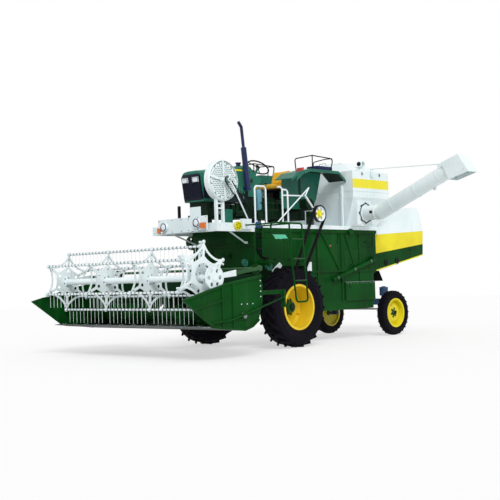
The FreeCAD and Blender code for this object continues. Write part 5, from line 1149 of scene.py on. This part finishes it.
# ------------------------------------------------------------------ tractor
@dataclass
class Tractor(Assembly):
    """Bonnet trim, engine lines, driver's controls and mudguard edging."""
    catches: tuple[float, ...] = (0.30, 0.66)
    louvres: int = 7
    louvre_start: float = 0.26
    louvre_step: float = 0.055
    injectors: int = 4
    injector_start: float = 0.60
    injector_step: float = 0.065
    filter_start: float = 0.34
    filter_step: float = 0.16
    ticks: int = 9
    tick_step: float = 30.0
    fender_y: float = 0.800
    bonnet_rear: float = 0.18
    bonnet_length: float = 0.98
    bonnet_rear_half: float = 0.279
    bonnet_front_half: float = 0.238

    def build(self) -> None:
        """Dress the tractor."""
        self._bonnet()
        self._nose()
        self._engine()
        self._gauges()
        self._levers()
        self._mudguards()

    def _bonnet(self) -> None:
        """Side catches, hinge, seam trim and louvres of the bonnet."""
        trim, fins = self.piece("bonnet_trim", "steel"), self.piece("bonnet_louvres", "teal")
        for side in Side:
            for x in self.catches:
                y, z = side * (self._side(x) + 0.001), 2.56
                trim.turned((x, y, z), side.out, [(-0.004, 0.016), (0.006, 0.016), (0.010, 0.006), (0.016, 0.006)],
                            12)
                trim.tube([(x, y + side * 0.014, z - 0.02), (x + 0.004, y + side * 0.014, z + 0.035)], 0.005)
            for index in range(self.louvres):
                x = self.louvre_start + index * self.louvre_step
                low, high = side.span(self._side(x) - 0.004, self._side(x) + 0.010)
                fins.slab([(x, low, 2.64), (x, high, 2.64), (x + 0.028, low, 2.64)], (0, 0, 0.13))
        trim.turned((0.19, -0.20, 3.122), LEFT, [(0, 0.010), (0.40, 0.010)], 10)
        trim.turned((0.62, 0.0, 3.098), (-0.15, 0, 1), [(-0.02, 0.045), (0.006, 0.045), (0.016, 0.036), (0.020, 0.0)],
                    24)
        trim.done()
        fins.done()

    def _side(self, x: float) -> float:
        """Half width of the bonnet at a distance ahead."""
        taper = self.bonnet_rear_half - self.bonnet_front_half
        return self.bonnet_rear_half - (x - self.bonnet_rear) * taper / self.bonnet_length

    def _nose(self) -> None:
        """Frame round the grille and the lamp surrounds."""
        lean = [(1.2 + (z - 2.48) * 0.15 + 0.014, z) for z in (2.53, 2.90)]
        with self.piece("nose_trim", "grille") as trim:
            for side in Side:
                trim.tube([(x, side * 0.208, z) for x, z in lean], 0.008, 10)
            for x, z in lean:
                trim.tube([(x, -0.208, z), (x, 0.208, z)], 0.008, 10)
        with self.piece("nose_lamp_frames", "steel") as frames:
            for side in Side:
                frames.tube([(x, side * y, z) for x, y, z in (
                    (1.285, 0.062, 2.802), (1.2975, 0.062, 2.883), (1.2975, 0.193, 2.883), (1.285, 0.193, 2.802),
                    (1.285, 0.062, 2.802))], 0.005)

    def _engine(self) -> None:
        """Injector lines, filter heads, rocker cover, radiator hoses and the casting's ribs."""
        with self.piece("injector_lines", "steel") as pipes:
            starts = [self.injector_start + index * self.injector_step for index in range(self.injectors)]
            for index, x in enumerate(starts):
                end = self.filter_start + index * self.filter_step
                pipes.tube([(x, 0.175, 2.436), (x, 0.185, 2.452), (end, 0.19, 2.445), (end, 0.188, 2.440)], 0.004,
                           bend=0.008)
            for x in starts:
                pipes.turned((x, 0.175, 2.438), UP, [(0, 0.009), (0.010, 0.009), (0.010, 0.006), (0.016, 0.006)], 8)
        with self.piece("engine_steel", "steel") as steel:
            for x, z in ((0.49, 2.44), (0.39, 2.472)):
                steel.turned((x, 0.19, z), UP, [(0, 0.044), (0.008, 0.046), (0.014, 0.046), (0.016, 0.0)], 18)
            for side in Side:
                steel.seams(side * 0.106, side.out, ((0.28, 2.215, 0.92, 2.215, 10, 0.007),))
            steel.turned((0.82, 0.151, 2.30), LEFT,
                         [(0, 0.034), (0.05, 0.034), (0.052, 0.030), (0.058, 0.030), (0.06, 0.0)], 18)
        with self.piece("radiator_lines", "belt") as hoses:
            hoses.tube([(0.90, 0.08, 2.43), (0.95, 0.10, 2.44), (1.01, 0.10, 2.44)], 0.024, 12, 0.04)
            hoses.tube([(0.90, -0.151, 2.30), (0.93, -0.172, 2.28), (1.005, -0.172, 2.27)], 0.026, 12, 0.04)
        with self.piece("gearbox_ribs", "dark_green") as casting:
            for side in Side:
                low, high = side.span(0.168, 0.179)
                for x in (-0.06, -0.36, -0.74, -0.92, -1.32):
                    casting.box((x - 0.012, low, 2.24), (x + 0.012, high, 2.58), 0.003)
                casting.box((-1.40, low, 2.40), (0.10, high, 2.42), 0.003)
                casting.bolt_ring((-1.15, side * 0.558, 2.48), side.out, 0.085, 8, 0.009)

    def _gauges(self) -> None:
        """Dial faces with plain ticks and a needle."""
        dials, ticks = self.piece("dial_faces", "dial"), self.piece("dial_ticks", "white")
        for x, z in ((0.09, 3.01), (0.02, 2.88)):
            dials.turned((x, 0.2062, z), LEFT, [(0, 0.043), (0.002, 0.043), (0.0022, 0.0)], 28)
            for index in range(self.ticks):
                turn = math.radians((index - 1) * self.tick_step)
                ticks.tube([swing((x, 0.2092, z), turn, reach) for reach in (0.032, 0.040)], 0.0012, 6)
            ticks.tube([(x, 0.2095, z), (x + 0.018, 0.2095, z + 0.024)], 0.0014, 6)
        dials.done()
        ticks.done()

    def _levers(self) -> None:
        """Gear levers, hydraulic levers, pedals and the steering wheel's cap."""
        rods, knobs = self.piece("driver_levers", "steel"), self.piece("lever_knobs", "black")
        routes = ([(-0.42, 0.05, 2.60), (-0.44, 0.06, 2.72), (-0.52, 0.06, 2.86)],
                  [(-0.46, -0.06, 2.60), (-0.47, -0.07, 2.78)],
                  *([(low, 0.36, 2.55), (high, 0.36, 2.86)] for low, high in
                    ((-0.70, -0.66), (-0.76, -0.73), (-0.82, -0.80))))
        rods.box((-0.86, 0.17, 2.50), (-0.62, 0.40, 2.56), 0.006)
        for route in routes:
            rods.tube(route, 0.007, bend=0.03)
            knobs.turned(route[-1], UP, [(-0.012, 0.006), (-0.004, 0.016), (0.010, 0.019), (0.022, 0.012),
                                         (0.027, 0.0)], 14)
        for y in (0.24, -0.20, -0.27):
            rods.tube([(-0.10, y, 2.47), (-0.22, y, 2.60)], 0.008)
            rods.box((-0.25, y - 0.03, 2.59), (-0.20, y + 0.03, 2.605), 0.003)
        rods.box((-0.16, -0.30, 2.45), (-0.06, 0.27, 2.48), 0.004)
        rods.done()
        knobs.turned((-0.39 + 0.014, 0, 3.16 + 0.023), (-0.53, 0, 0.848),
                     [(-0.012, 0.030), (0.0, 0.034), (0.008, 0.026), (0.010, 0.0)])
        knobs.done()

    def _mudguards(self) -> None:
        """Rolled edge, bolts and strips of the mudguards, and the pad on one."""
        with self.piece("mudguard_edges", "teal") as edge:
            for side in Side:
                y = side * (self.fender_y - 0.002)
                edge.tube([(x, y, z) for x, z in ((-0.39, 2.893), (-0.56, 3.003), (-0.90, 3.083), (-1.70, 3.083),
                                                  (-1.895, 2.935))], 0.008, bend=0.05)
                edge.seams(side * 0.414, side.out, ((-1.00, 2.62, -0.62, 2.62, 4, 0.009),))
                for strip in (0.50, 0.66):
                    low, high = side.span(strip, strip + 0.014)
                    edge.box((-1.68, low, 3.09), (-0.92, high, 3.097), 0.003)
        with self.piece("mudguard_pad", "blue_pad") as pad:
            pad.slab([(-1.18, 0.47, 3.098), (-1.62, 0.47, 3.098), (-1.62, 0.72, 3.098), (-1.18, 0.72, 3.098)],
                     (0, 0, 0.075), 0.026)


@dataclass
class DriverSeat(Assembly):
    """Two padded cushions on a dark pan and pedestal."""
    base_low: Point = (-0.995, -0.215, 2.765)
    base_high: Point = (-0.505, 0.215, 2.852)
    back_size: tuple[float, float, float] = (0.070, 0.425, 0.285)
    back_spot: Point = (-0.990, 0.0, 2.992)
    back_lean: float = -17.0
    voxel: float = 0.009
    pressure: float = 4.0
    cap: float = 0.012
    inset: float = 0.012
    crown: float = 0.34
    steps: int = 20

    def build(self) -> None:
        """Make the seat that stands for the plain solid."""
        pan = self.piece("seat_pan", "black")
        pan.box((-0.86, -0.09, 2.6003), (-0.68, 0.09, 2.735), 0.008)
        pan.box((-0.97, -0.19, 2.735), (-0.54, 0.19, 2.768), 0.008)
        pan.slab([(-0.985, -0.16, 2.77), (-1.060, -0.16, 3.06), (-1.060, 0.16, 3.06), (-0.985, 0.16, 2.77)],
                 (-0.010, 0, -0.003), 0.003)
        pan.seams(0.19, LEFT, ((-0.62, 2.752, -0.90, 2.752, 3, 0.007),))
        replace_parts(pan.done(), "seat")
        low, high = Vector(self.base_low), Vector(self.base_high)
        self._cushion("seat_cushion", Matrix.Translation(at(*((low + high) / 2))), high - low)
        lean = Matrix.Translation(at(*self.back_spot)) @ Matrix.Rotation(math.radians(self.back_lean), 4, "Y")
        self._cushion("seat_back", lean, Vector(self.back_size))

    def _cushion(self, name: str, place: Matrix, size: Vector) -> None:
        """A crowned closed pad, puffed by a short cloth run.

        Args:
            name: the piece's name.
            place: where the pad's middle stands.
            size: its length, width and height.
        """
        mesh = bpy.data.meshes.new(name)
        form = bmesh.new()
        shrunk = size - Vector((self.inset,) * 3)
        bmesh.ops.create_cube(form, size=1.0, matrix=place @ Matrix.Diagonal((*shrunk, 1.0)))
        bmesh.ops.bevel(form, geom=list(form.edges), offset=min(size) * self.crown, segments=4, profile=0.6,
                        affect="EDGES")
        form.to_mesh(mesh)
        form.free()
        pad = bpy.data.objects.new(name, mesh)
        bpy.context.scene.collection.objects.link(pad)
        remesh = pad.modifiers.new("even", "REMESH")
        remesh.mode = "VOXEL"
        remesh.voxel_size = self.voxel
        self._apply(pad)
        self._puff(pad)
        pad.modifiers.new("soften", "SUBSURF").levels = 1
        self._apply(pad)
        smooth(pad.data)
        pad.data.materials.clear()
        pad.data.materials.append(self.palette.get("vinyl"))
        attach(pad, "chassis")
        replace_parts(pad, "seat")
        log.info("made %s: %d faces", name, len(pad.data.polygons))

    @staticmethod
    def _apply(pad: bpy.types.Object) -> None:
        """Bake the pad's modifiers into its mesh.

        Args:
            pad: the pad.
        """
        graph = bpy.context.evaluated_depsgraph_get()
        baked = bpy.data.meshes.new_from_object(pad.evaluated_get(graph))
        pad.modifiers.clear()
        pad.data = baked

    def _puff(self, pad: bpy.types.Object) -> None:
        """Blow the pad up a little from inside and hold each point near its start.

        Args:
            pad: the pad, in its own mesh.
        """
        homes = [vertex.co.copy() for vertex in pad.data.vertices]
        cloth = pad.modifiers.new("puff", "CLOTH").settings
        cloth.use_pressure = True
        cloth.uniform_pressure_force = self.pressure
        cloth.effector_weights.gravity = 0.0
        cloth.quality = 4
        for step in range(1, self.steps + 1):
            bpy.context.scene.frame_set(step)
        self._apply(pad)
        bpy.context.scene.frame_set(1)
        for vertex, home in zip(pad.data.vertices, homes):
            move = vertex.co - home
            if move.length > self.cap:
                vertex.co = home + move.normalized() * self.cap


# ------------------------------------------------------------------ cooling screen
@dataclass
class CoolingScreen(Assembly):
    """Perforated face on the turning disc, and bolts on the shroud and its strut."""
    x: float = 1.060
    z: float = 2.800
    face: float = 0.5645
    sheet: float = 0.0015
    radius: float = 0.312
    hub: float = 0.052
    pitch: float = 0.036
    hole: float = 0.0118
    field: float = 0.262
    row_margin: float = 0.6
    rim_margin: float = 0.58
    rim_bolts: int = 16
    arms: tuple[int, ...] = (88, 12, 266, 190)
    arm_near: float = 0.055
    arm_far: float = 0.310
    arm_half: float = 0.021

    def build(self) -> None:
        """Dress the screen."""
        axis = (self.x, self.face, self.z)
        with self.piece("screen_face", "white", "screen") as sheet:
            self._cells(sheet.mesh)
            sheet.turned(axis, LEFT, ring(0.302, 0.314, 0, 0.0022), 64)
            sheet.turned(axis, LEFT, [(0, 0.050), (0, 0.062), (0.003, 0.060), (0.003, 0.050), (0, 0.050)], 32)
        with self.piece("screen_arm_plates", "white") as arms:
            for angle in self.arms:
                cos, sin = math.cos(math.radians(angle)), math.sin(math.radians(angle))
                near, far, wide = self.arm_near, self.arm_far, self.arm_half
                arms.slab([(self.x + reach * cos - shift * sin, 0.5806, self.z + reach * sin + shift * cos)
                           for reach, shift in ((near, wide), (far, wide), (far, -wide), (near, -wide))],
                          (0, 0.003, 0), 0.001)
        with self.piece("screen_bolts", "white") as bolts:
            for angle in self.arms:
                for reach in (0.28, 0.10):
                    bolts.bolt(swing((self.x, 0.5836, self.z), math.radians(angle), reach), LEFT, 0.007)
            bolts.bolt_ring((self.x, 0.640, self.z), LEFT, 0.040, 4, 0.006)
            for index in range(self.rim_bolts):
                turn = math.radians(index * 360 / self.rim_bolts)
                bolts.bolt(swing((self.x, 0.50, self.z), turn, 0.340), (math.cos(turn), 0, math.sin(turn)), 0.007,
                           Form.ROUND)

    def _cells(self, mesh: bmesh.types.BMesh) -> None:
        """Fill the sheet with six-sided cells and join them.

        Args:
            mesh: where the cells go.
        """
        step = self.pitch * math.sqrt(3) / 2
        rows = int(self.radius / step)
        for row in range(-rows, rows + 1):
            z = row * step
            shift = self.pitch / 2 if row % 2 else 0.0
            reach = math.sqrt(max(0.0, (self.radius - self.pitch * self.row_margin) ** 2 - z * z))
            count = int((reach + shift) / self.pitch)
            for column in range(-count, count + 1):
                x = column * self.pitch + shift
                if self.hub < math.hypot(x, z) < self.radius - self.pitch * self.rim_margin:
                    self._cell(mesh, x, z, math.hypot(x, z) < self.field)
        bmesh.ops.remove_doubles(mesh, verts=mesh.verts, dist=0.0004)

    def _cell(self, mesh: bmesh.types.BMesh, x: float, z: float, pierced: bool) -> None:
        """One six-sided cell of the sheet.

        Args:
            mesh: where it goes.
            x: its middle ahead of the screen's.
            z: its middle above the screen's.
            pierced: leave a hole in it.
        """
        centre = (self.x + x, self.face + self.sheet, self.z + z)
        reaches = (self.pitch / math.sqrt(3), self.hole)[:1 + pierced]
        spokes = [[mesh.verts.new(at(*swing(centre, math.pi / 6 + index * math.pi / 3, reach))) for reach in reaches]
                  for index in range(6)]
        if not pierced:
            mesh.faces.new([outer for outer, in spokes])
            return
        for (outer, inner), (next_outer, next_inner) in zip(spokes, spokes[1:] + spokes[:1]):
            mesh.faces.new((outer, inner, next_inner, next_outer))


# ------------------------------------------------------------------ grain tank
@dataclass
class GrainTank(Assembly):
    """Rivet rows, hasps and vent of the tank, and the lid's handle and hinges."""
    front: float = -1.910
    rear: float = -3.030
    half: float = 0.950
    low: float = 2.640
    high: float = 3.080
    post: float = -1.872

    def build(self) -> None:
        """Dress the tank and its lid."""
        x0, x1, z0, z1 = self.front - 0.05, self.rear + 0.05, self.low + 0.02, self.high - 0.03
        upright = (self.low + 0.07, self.high - 0.08)
        rows = ((x0, z0, x1, z0, 16, 0.006), (x0, z1, x1, z1, 16, 0.006),
                *((x, upright[0], x, upright[1], 6, 0.006) for x in (x0, x1)))
        rivets, hasps = self.piece("tank_rivets", "white"), self.piece("tank_hasps", "steel")
        for side in Side:
            y = side * self.half
            rivets.seams(y, side.out, rows, Form.ROUND)
            rivets.row((self.post, side * 0.70, 2.14), (self.post, side * 0.70, 2.82), 6, AHEAD)
            for x in (-2.20, -2.74):
                hasps.box((x - 0.014, min(y, y + side * 0.010), 3.03), (x + 0.014, max(y, y + side * 0.010), 3.085),
                          0.003)
                hasps.tube([(x, y + side * proud, z) for proud, z in ((0.012, 3.075), (0.026, 3.05), (0.012, 3.03))],
                           0.004, bend=0.01)
        for x, way in ((self.front, 1.0), (self.rear, -1.0)):
            for z in (z0, z1):
                rivets.row((x, -0.88, z), (x, 0.88, z), 20, (way, 0, 0), 0.006, Form.ROUND)
        rivets.done()
        hasps.done()
        vent_way = (1, 0.25, -0.05)
        # Painted shade: the black disc set in the vent's mouth stands for the shade inside its bore; the thin black
        # slab marks the roof slot.
        with self.piece("vent_shade_and_roof_slot", "black") as mark:
            mark.turned((-2.345, 0.787, 3.264), vent_way, [(0.0, 0.040), (0.026, 0.040), (0.0262, 0.0)], 28)
            mark.slab([(-1.985, 0.50, 3.141), (-1.985, 0.72, 3.141), (-2.065, 0.72, 3.181), (-2.065, 0.50, 3.181)],
                      (0.002, 0, 0.004), 0.001)
        with self.piece("vent_mouth", "white") as mouth:
            mouth.turned((-2.352, 0.787, 3.264), vent_way, [(-0.02, 0.041), (-0.02, 0.052), (0.034, 0.056),
                                                            (0.038, 0.053), (0.034, 0.041), (-0.02, 0.041)], 28)
        with self.piece("lid_fittings", "steel", "lid") as lid:
            for y in (-0.30, 0.30):
                lid.turned((-2.684, y - 0.05, 3.312), LEFT, [(0, 0.006), (0.10, 0.006)], 8)
            lid.tube([(-2.225, y, z) for y, z in ((-0.08, 3.311), (-0.08, 3.340), (0.08, 3.340), (0.08, 3.311))],
                     0.006, bend=0.015)


# ------------------------------------------------------------------ unloading auger
@dataclass
class UnloadingAuger(Assembly):
    """Bolted flanges, bands and lugs of the swung pipe, and its boot's bolts."""
    x: float = -2.250
    z: float = 2.325
    elbow: float = 1.325
    rise: float = 23.0
    radius: float = 0.135
    bands: tuple[float, ...] = (0.30, 0.86, 1.38)

    def build(self) -> None:
        """Dress the boot and the pipe."""
        x0, x1, body = -2.455, -2.05, "unloading_auger"
        with self.piece("boot_bolts", "white") as boot:
            boot.seams(0.945, LEFT, ((x0, 2.535, x1, 2.535, 6, 0.008), (x0, 2.115, x1, 2.115, 6, 0.008),
                                     (x0, 2.19, x0, 2.46, 4, 0.008), (x1, 2.19, x1, 2.46, 4, 0.008)))
        with self.piece("auger_flange_bolts", "steel", body) as pipe:
            pipe.bolt_ring((self.x, 0.979, self.z), LEFT, 0.172, 12, 0.009)
        # Painted shade: a black ring between the boot and the flange for the dark gap there, and a black block on the
        # neck for the shade in a small hole.
        with self.piece("auger_gap_and_window_shade", "black", body) as gap_shade:
            gap_shade.turned((self.x, 0.966, self.z), LEFT, ring(0.17, 0.199, 0, 0.014), 8)
            gap_shade.box((self.x + 0.130, 1.155, self.z - 0.022), (self.x + 0.1375, 1.215, self.z + 0.028), 0.001)
        along = (0.0, math.cos(math.radians(self.rise)), math.sin(math.radians(self.rise)))
        with self.piece("auger_bands", "white", body) as bands:
            for reach in self.bands:
                x, y, z = self.x, self.elbow + along[1] * reach, self.z + along[2] * reach
                bands.turned((x, y, z), along, ring(self.radius - 0.002, self.radius + 0.005, -0.014, 0.014), 40)
                low = (x - self.radius - 0.022, y - 0.012, z - 0.012)
                bands.box(low, (low[0] + 0.03, low[1] + 0.024, low[2] + 0.024))
                bands.bolt((low[0] + 0.001, y, z), (-1, 0, 0), 0.006)
        with self.piece("spout_trim", "white", body) as spout:
            for way, y0, z0, y1, z1 in ((1, 2.75, 3.02, 2.86, 2.82), (1, 3.00, 3.13, 3.16, 2.93),
                                        (-1, 2.75, 3.02, 2.86, 2.82)):
                x = self.x + way * 0.150
                spout.row((x, y0, z0), (x, y1, z1), 3, (way, 0, 0), 0.007)


# ------------------------------------------------------------------ straw hood
@dataclass
class StrawHood(Assembly):
    """Rivet rows, twin latch rings and lifting handles of the rear hood, and its dark flap, which also paints the
    shade under its front edge.
    """
    half: float = 0.650
    upper_rows: tuple = ((-3.02, 2.02, -3.98, 2.46, 14, 0.006), (-4.03, 2.475, -4.37, 2.480, 5, 0.006),
                         (-4.40, 2.44, -4.57, 2.09, 5, 0.006), (-3.70, 2.02, -3.70, 2.30, 5, 0.006))
    lower_rows: tuple = ((-3.10, 1.29, -4.50, 1.545, 18, 0.006), (-2.95, 1.34, -2.88, 1.60, 4, 0.006))

    def build(self) -> None:
        """Dress the hood."""
        upper, lower = self.piece("hood_rivets_upper", "white"), self.piece("hood_rivets_lower", "hood_green")
        rings = self.piece("hood_latches", "black")
        for side in Side:
            out, y = side.out, side * self.half
            upper.seams(y, out, self.upper_rows, Form.ROUND)
            lower.seams(y, out, self.lower_rows, Form.ROUND)
            for x, z in ((-3.29, 1.41), (-3.66, 1.44)):
                rings.turned((x, y, z), out, ring(0.022, 0.060, 0.0, 0.014), 28)
                rings.turned((x, y, z), out, [(0.0, 0.012), (0.022, 0.012), (0.026, 0.006)], 12)
            rings.tube([(x, y + side * proud, z) for x, proud, z in (
                (-4.10, 0, 1.66), (-4.10, 0.035, 1.66), (-4.30, 0.035, 1.695), (-4.30, 0, 1.695))], 0.007, bend=0.02)
        for piece in (upper, lower, rings):
            piece.done()
        # Partly painted shade: this dark rubber sheet under the hood's front edge gives the dark gap there.
        with self.piece("straw_flap_and_gap_shade", "belt") as flap:
            flap.slab([(-3.085, -0.61, 1.262), (-3.085, 0.61, 1.262), (-3.215, 0.61, 1.050), (-3.215, -0.61, 1.050)],
                      (-0.010, 0, 0.006))


# ------------------------------------------------------------------ header
@dataclass
class Header(Assembly):
    """Back wall bolts and ribs, knife clips, and the side sheets' bolts and bearings."""
    half: float = 1.830
    auger: tuple[float, float] = (1.970, 0.625)
    clips: int = 12
    clip_start: float = -1.65
    clip_step: float = 0.30
    side_rows: tuple = ((2.420, 0.70, 2.420, 0.98, 4, 0.007), (2.200, 0.70, 2.200, 0.98, 4, 0.007),
                        (1.60, 0.90, 1.60, 1.14, 4, 0.007), (1.78, 0.80, 2.02, 0.80, 3, 0.007))

    def build(self) -> None:
        """Dress the table and its side sheets."""
        for side in Side:
            self._side(side)
        with self.piece("header_back_bolts", "green", "header") as back:
            back.row((1.57, -1.66, 1.21), (1.57, 1.66, 1.21), 24, AHEAD)
            for y in (-1.30, -0.75, 0.75, 1.30):
                back.box((1.548, y - 0.022, 0.66), (1.566, y + 0.022, 1.18), 0.003)
        with self.piece("knife_clips", "steel", "header") as clips:
            for index in range(self.clips):
                y = self.clip_start + index * self.clip_step
                clips.box((2.655, y - 0.018, 0.504), (2.72, y + 0.018, 0.516), 0.003)
                clips.bolt((2.668, y, 0.516), UP, 0.007)

    def _side(self, side: Side) -> None:
        """Bolts and auger bearing of a side sheet.

        Args:
            side: which sheet.
        """
        out, y, (x, z) = side.out, side * self.half, self.auger
        with self.piece("header_side_bolts" + side.label, "white", "header") as bolts:
            bolts.seams(y, out, self.side_rows)
        with self.piece("header_auger_bearing" + side.label, "steel", "header") as hub:
            hub.turned((x, y, z), out, [(0.0, 0.050), (0.010, 0.050), (0.012, 0.040), (0.026, 0.036), (0.028, 0.020),
                                        (0.030, 0.0)], 28)
            hub.bolt_ring((x, y + side * 0.004, z), out, 0.058, 4, 0.008)


# ------------------------------------------------------------------ reel
@dataclass
class Reel(Assembly):
    """Tine coils, hub and star bolts, and the arms' bolts of the pickup reel."""
    x: float = 2.530
    z: float = 1.205
    radius: float = 0.465
    phase: float = 35.0
    bats: int = 6
    stars: tuple[float, ...] = (-1.760, -0.683, 0.393, 1.470)
    star_gap: float = 0.055
    tines: int = 12
    coil_radius: float = 0.020
    coil_pitch: float = 0.001
    wire: float = 0.0026
    coil_turns: float = 2.5
    coil_steps: int = 20

    def build(self) -> None:
        """Dress the bats, the star plates and the arms."""
        turns = [math.radians(self.phase + index * 360 / self.bats) for index in range(self.bats)]
        for index, turn in enumerate(turns):
            self._bat(f"bat_{index + 1}", turn)
        hubs, clamps = self.piece("reel_hub_bolts", "steel", "reel"), self.piece("reel_star_bolts", "steel", "reel")
        for y in self.stars:
            centre = (self.x, y + 0.0045, self.z)
            hubs.bolt_ring(centre, LEFT, 0.075, 6, 0.008)
            for turn in turns:
                clamps.bolt(swing(centre, turn, self.radius - 0.085), LEFT, 0.008)
        hubs.done()
        clamps.done()
        with self.piece("reel_arm_fittings", "steel", "reel_frame") as fittings:
            for y, way in ((1.735, 1.0), (-1.800, -1.0)):
                fittings.bolt_ring((self.x, y + way * 0.020, self.z), (0, way, 0), 0.045, 4, 0.006)

    def _bat(self, bat: str, turn: float) -> None:
        """Coil of every tine on its bat.

        Args:
            bat: the bat's body.
            turn: where it stands round the reel.
        """
        centre = swing((self.x, 0.0, self.z), turn, self.radius)
        with self.piece(bat + "_coils", "steel", bat) as coils:
            for star, following in zip(self.stars, self.stars[1:]):
                low, high = star + self.star_gap, following - self.star_gap
                for step in range(self.tines):
                    self._coil(coils, (centre[0], low + (high - low) * step / (self.tines - 1) - 0.010, centre[2]))

    def _coil(self, coils: Maker, start: Point) -> None:
        """Turns of wire wound on the bat.

        Args:
            coils: the piece that takes them.
            start: middle of the first turn.
        """
        x, y, z = start
        coils.tube([swing((x, y + step * self.coil_pitch, z), step * 2 * math.pi * self.coil_turns / self.coil_steps,
                          self.coil_radius) for step in range(self.coil_steps + 1)], self.wire, 5)


# ------------------------------------------------------------------ paint on the CAD nodes
def paint_nodes(palette: Palette) -> None:
    """Give every CAD node its finish.

    Args:
        palette: the machine's finishes.
    """
    for name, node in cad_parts.items():
        finish = next((finish for finish, starts in NODE_FINISHES.items() if name.startswith(starts)), "white")
        node.data.materials.clear()
        node.data.materials.append(palette.get(finish))
        log.info("painted %s in %s", name, finish)


# ------------------------------------------------------------------ studio
@dataclass
class Studio:
    """Pale floor, soft lamps, plain world and the camera."""
    eye: Point = (12.2478, 11.7637, 1.182)
    yaw: float = -136.4337
    pitch: float = 1.6647
    roll: float = 1.7234
    lens: float = 69.55
    sensor: float = 36.0
    far: float = 200.0
    floor_size: float = 60.0
    floor_drop: float = 0.001
    floor_glow: float = 0.55
    floor_colour: Colour = (0.9, 0.9, 0.9)
    floor_roughness: float = 0.9
    sky: float = 0.62
    sun: float = 2.0
    sun_from: Point = (0.55, 0.75, 0.85)
    sun_angle: float = 25.0

    @staticmethod
    def _place(name: str, data: bpy.types.ID) -> bpy.types.Object:
        """Put a new object in the scene.

        Args:
            name: the object's name.
            data: its camera, lamp or mesh.

        Returns:
            The object.
        """
        thing = bpy.data.objects.new(name, data)
        bpy.context.scene.collection.objects.link(thing)
        return thing

    def camera(self) -> None:
        """Place the camera."""
        data = bpy.data.cameras.new("view_camera")
        data.lens = self.lens
        data.sensor_width = self.sensor
        data.clip_end = self.far
        turn, rise, roll = (math.radians(angle) for angle in (self.yaw, self.pitch, self.roll))
        ahead = Vector((math.cos(rise) * math.cos(turn), math.cos(rise) * math.sin(turn), math.sin(rise)))
        right = ahead.cross(Vector(UP)).normalized()
        down = ahead.cross(right)
        side = right * math.cos(roll) + down * math.sin(roll)
        under = down * math.cos(roll) - right * math.sin(roll)
        matrix = Matrix((side, -under, -ahead)).transposed().to_4x4()
        matrix.translation = at(*self.eye)
        camera = self._place("view_camera", data)
        camera.matrix_world = matrix
        bpy.context.scene.camera = camera

    def floor(self) -> None:
        """Lay the floor: white to the camera, with the machine's shadow kept."""
        mesh = bpy.data.meshes.new("floor")
        half = self.floor_size / 2
        mesh.from_pydata([(-half, -half, 0), (half, -half, 0), (half, half, 0), (-half, half, 0)], [], [(0, 1, 2, 3)])
        floor = self._place("floor", mesh)
        floor.location = (DATUM.x, DATUM.y, -self.floor_drop)
        material = bpy.data.materials.new("floor_white")
        material.use_nodes = True
        graph = Graph(material.node_tree)
        shader = graph.tree.nodes["Principled BSDF"]
        shader.inputs["Base Color"].default_value = (*self.floor_colour, 1)
        shader.inputs["Roughness"].default_value = self.floor_roughness
        glow = graph.add("Emission", {}).outputs[0]
        blend = graph.add("MixShader", {0: self._seen(graph, self.floor_glow), 1: shader.outputs[0], 2: glow})
        graph.tree.links.new(blend.outputs[0], graph.tree.nodes["Material Output"].inputs["Surface"])
        mesh.materials.append(material)

    @staticmethod
    def _seen(graph: Graph, share: float) -> Socket:
        """A share for rays that come straight from the camera, a mirror or glass, and 0 for the rest.

        Args:
            graph: the nodes of the material or world.
            share: the share.

        Returns:
            Its socket.
        """
        path = graph.add("LightPath", {}).outputs
        straight = graph.maths("MAXIMUM", path["Is Camera Ray"], path["Is Glossy Ray"])
        return graph.maths("MULTIPLY", graph.maths("MAXIMUM", straight, path["Is Transmission Ray"]), share)

    def lights(self) -> None:
        """One broad sun and a plain sky that shows as white."""
        world = bpy.data.worlds.new("studio")
        world.use_nodes = True
        graph = Graph(world.node_tree)
        graph.tree.nodes.clear()
        skies = [graph.add("Background", {"Strength": strength, "Color": (1, 1, 1, 1)}).outputs[0]
                 for strength in (self.sky, 1.0)]
        blend = graph.add("MixShader", dict(enumerate((self._seen(graph, 1.0), *skies))))
        graph.add("OutputWorld", {"Surface": blend.outputs[0]})
        bpy.context.scene.world = world
        data = bpy.data.lights.new("sun", "SUN")
        data.energy = self.sun
        data.angle = math.radians(self.sun_angle)
        lamp = self._place("sun", data)
        lamp.rotation_mode = "QUATERNION"
        lamp.rotation_quaternion = Vector(self.sun_from).to_track_quat("Z", "Y")

    def build(self) -> None:
        """Set up everything round the machine."""
        self.floor()
        self.lights()
        self.camera()
        bpy.context.scene.view_settings.view_transform = "Standard"


def main() -> None:
    """Paint the machine, dress it and set up the studio."""
    logging.basicConfig(level=logging.INFO, format="%(message)s")
    palette = Palette()
    paint_nodes(palette)
    for assembly in (Wheels, Thresher, Deck, Tractor, DriverSeat, CoolingScreen, GrainTank, UnloadingAuger, StrawHood,
                     Header, Reel):
        assembly(palette).build()
    Studio().build()


if __name__ == "__main__":
    main()
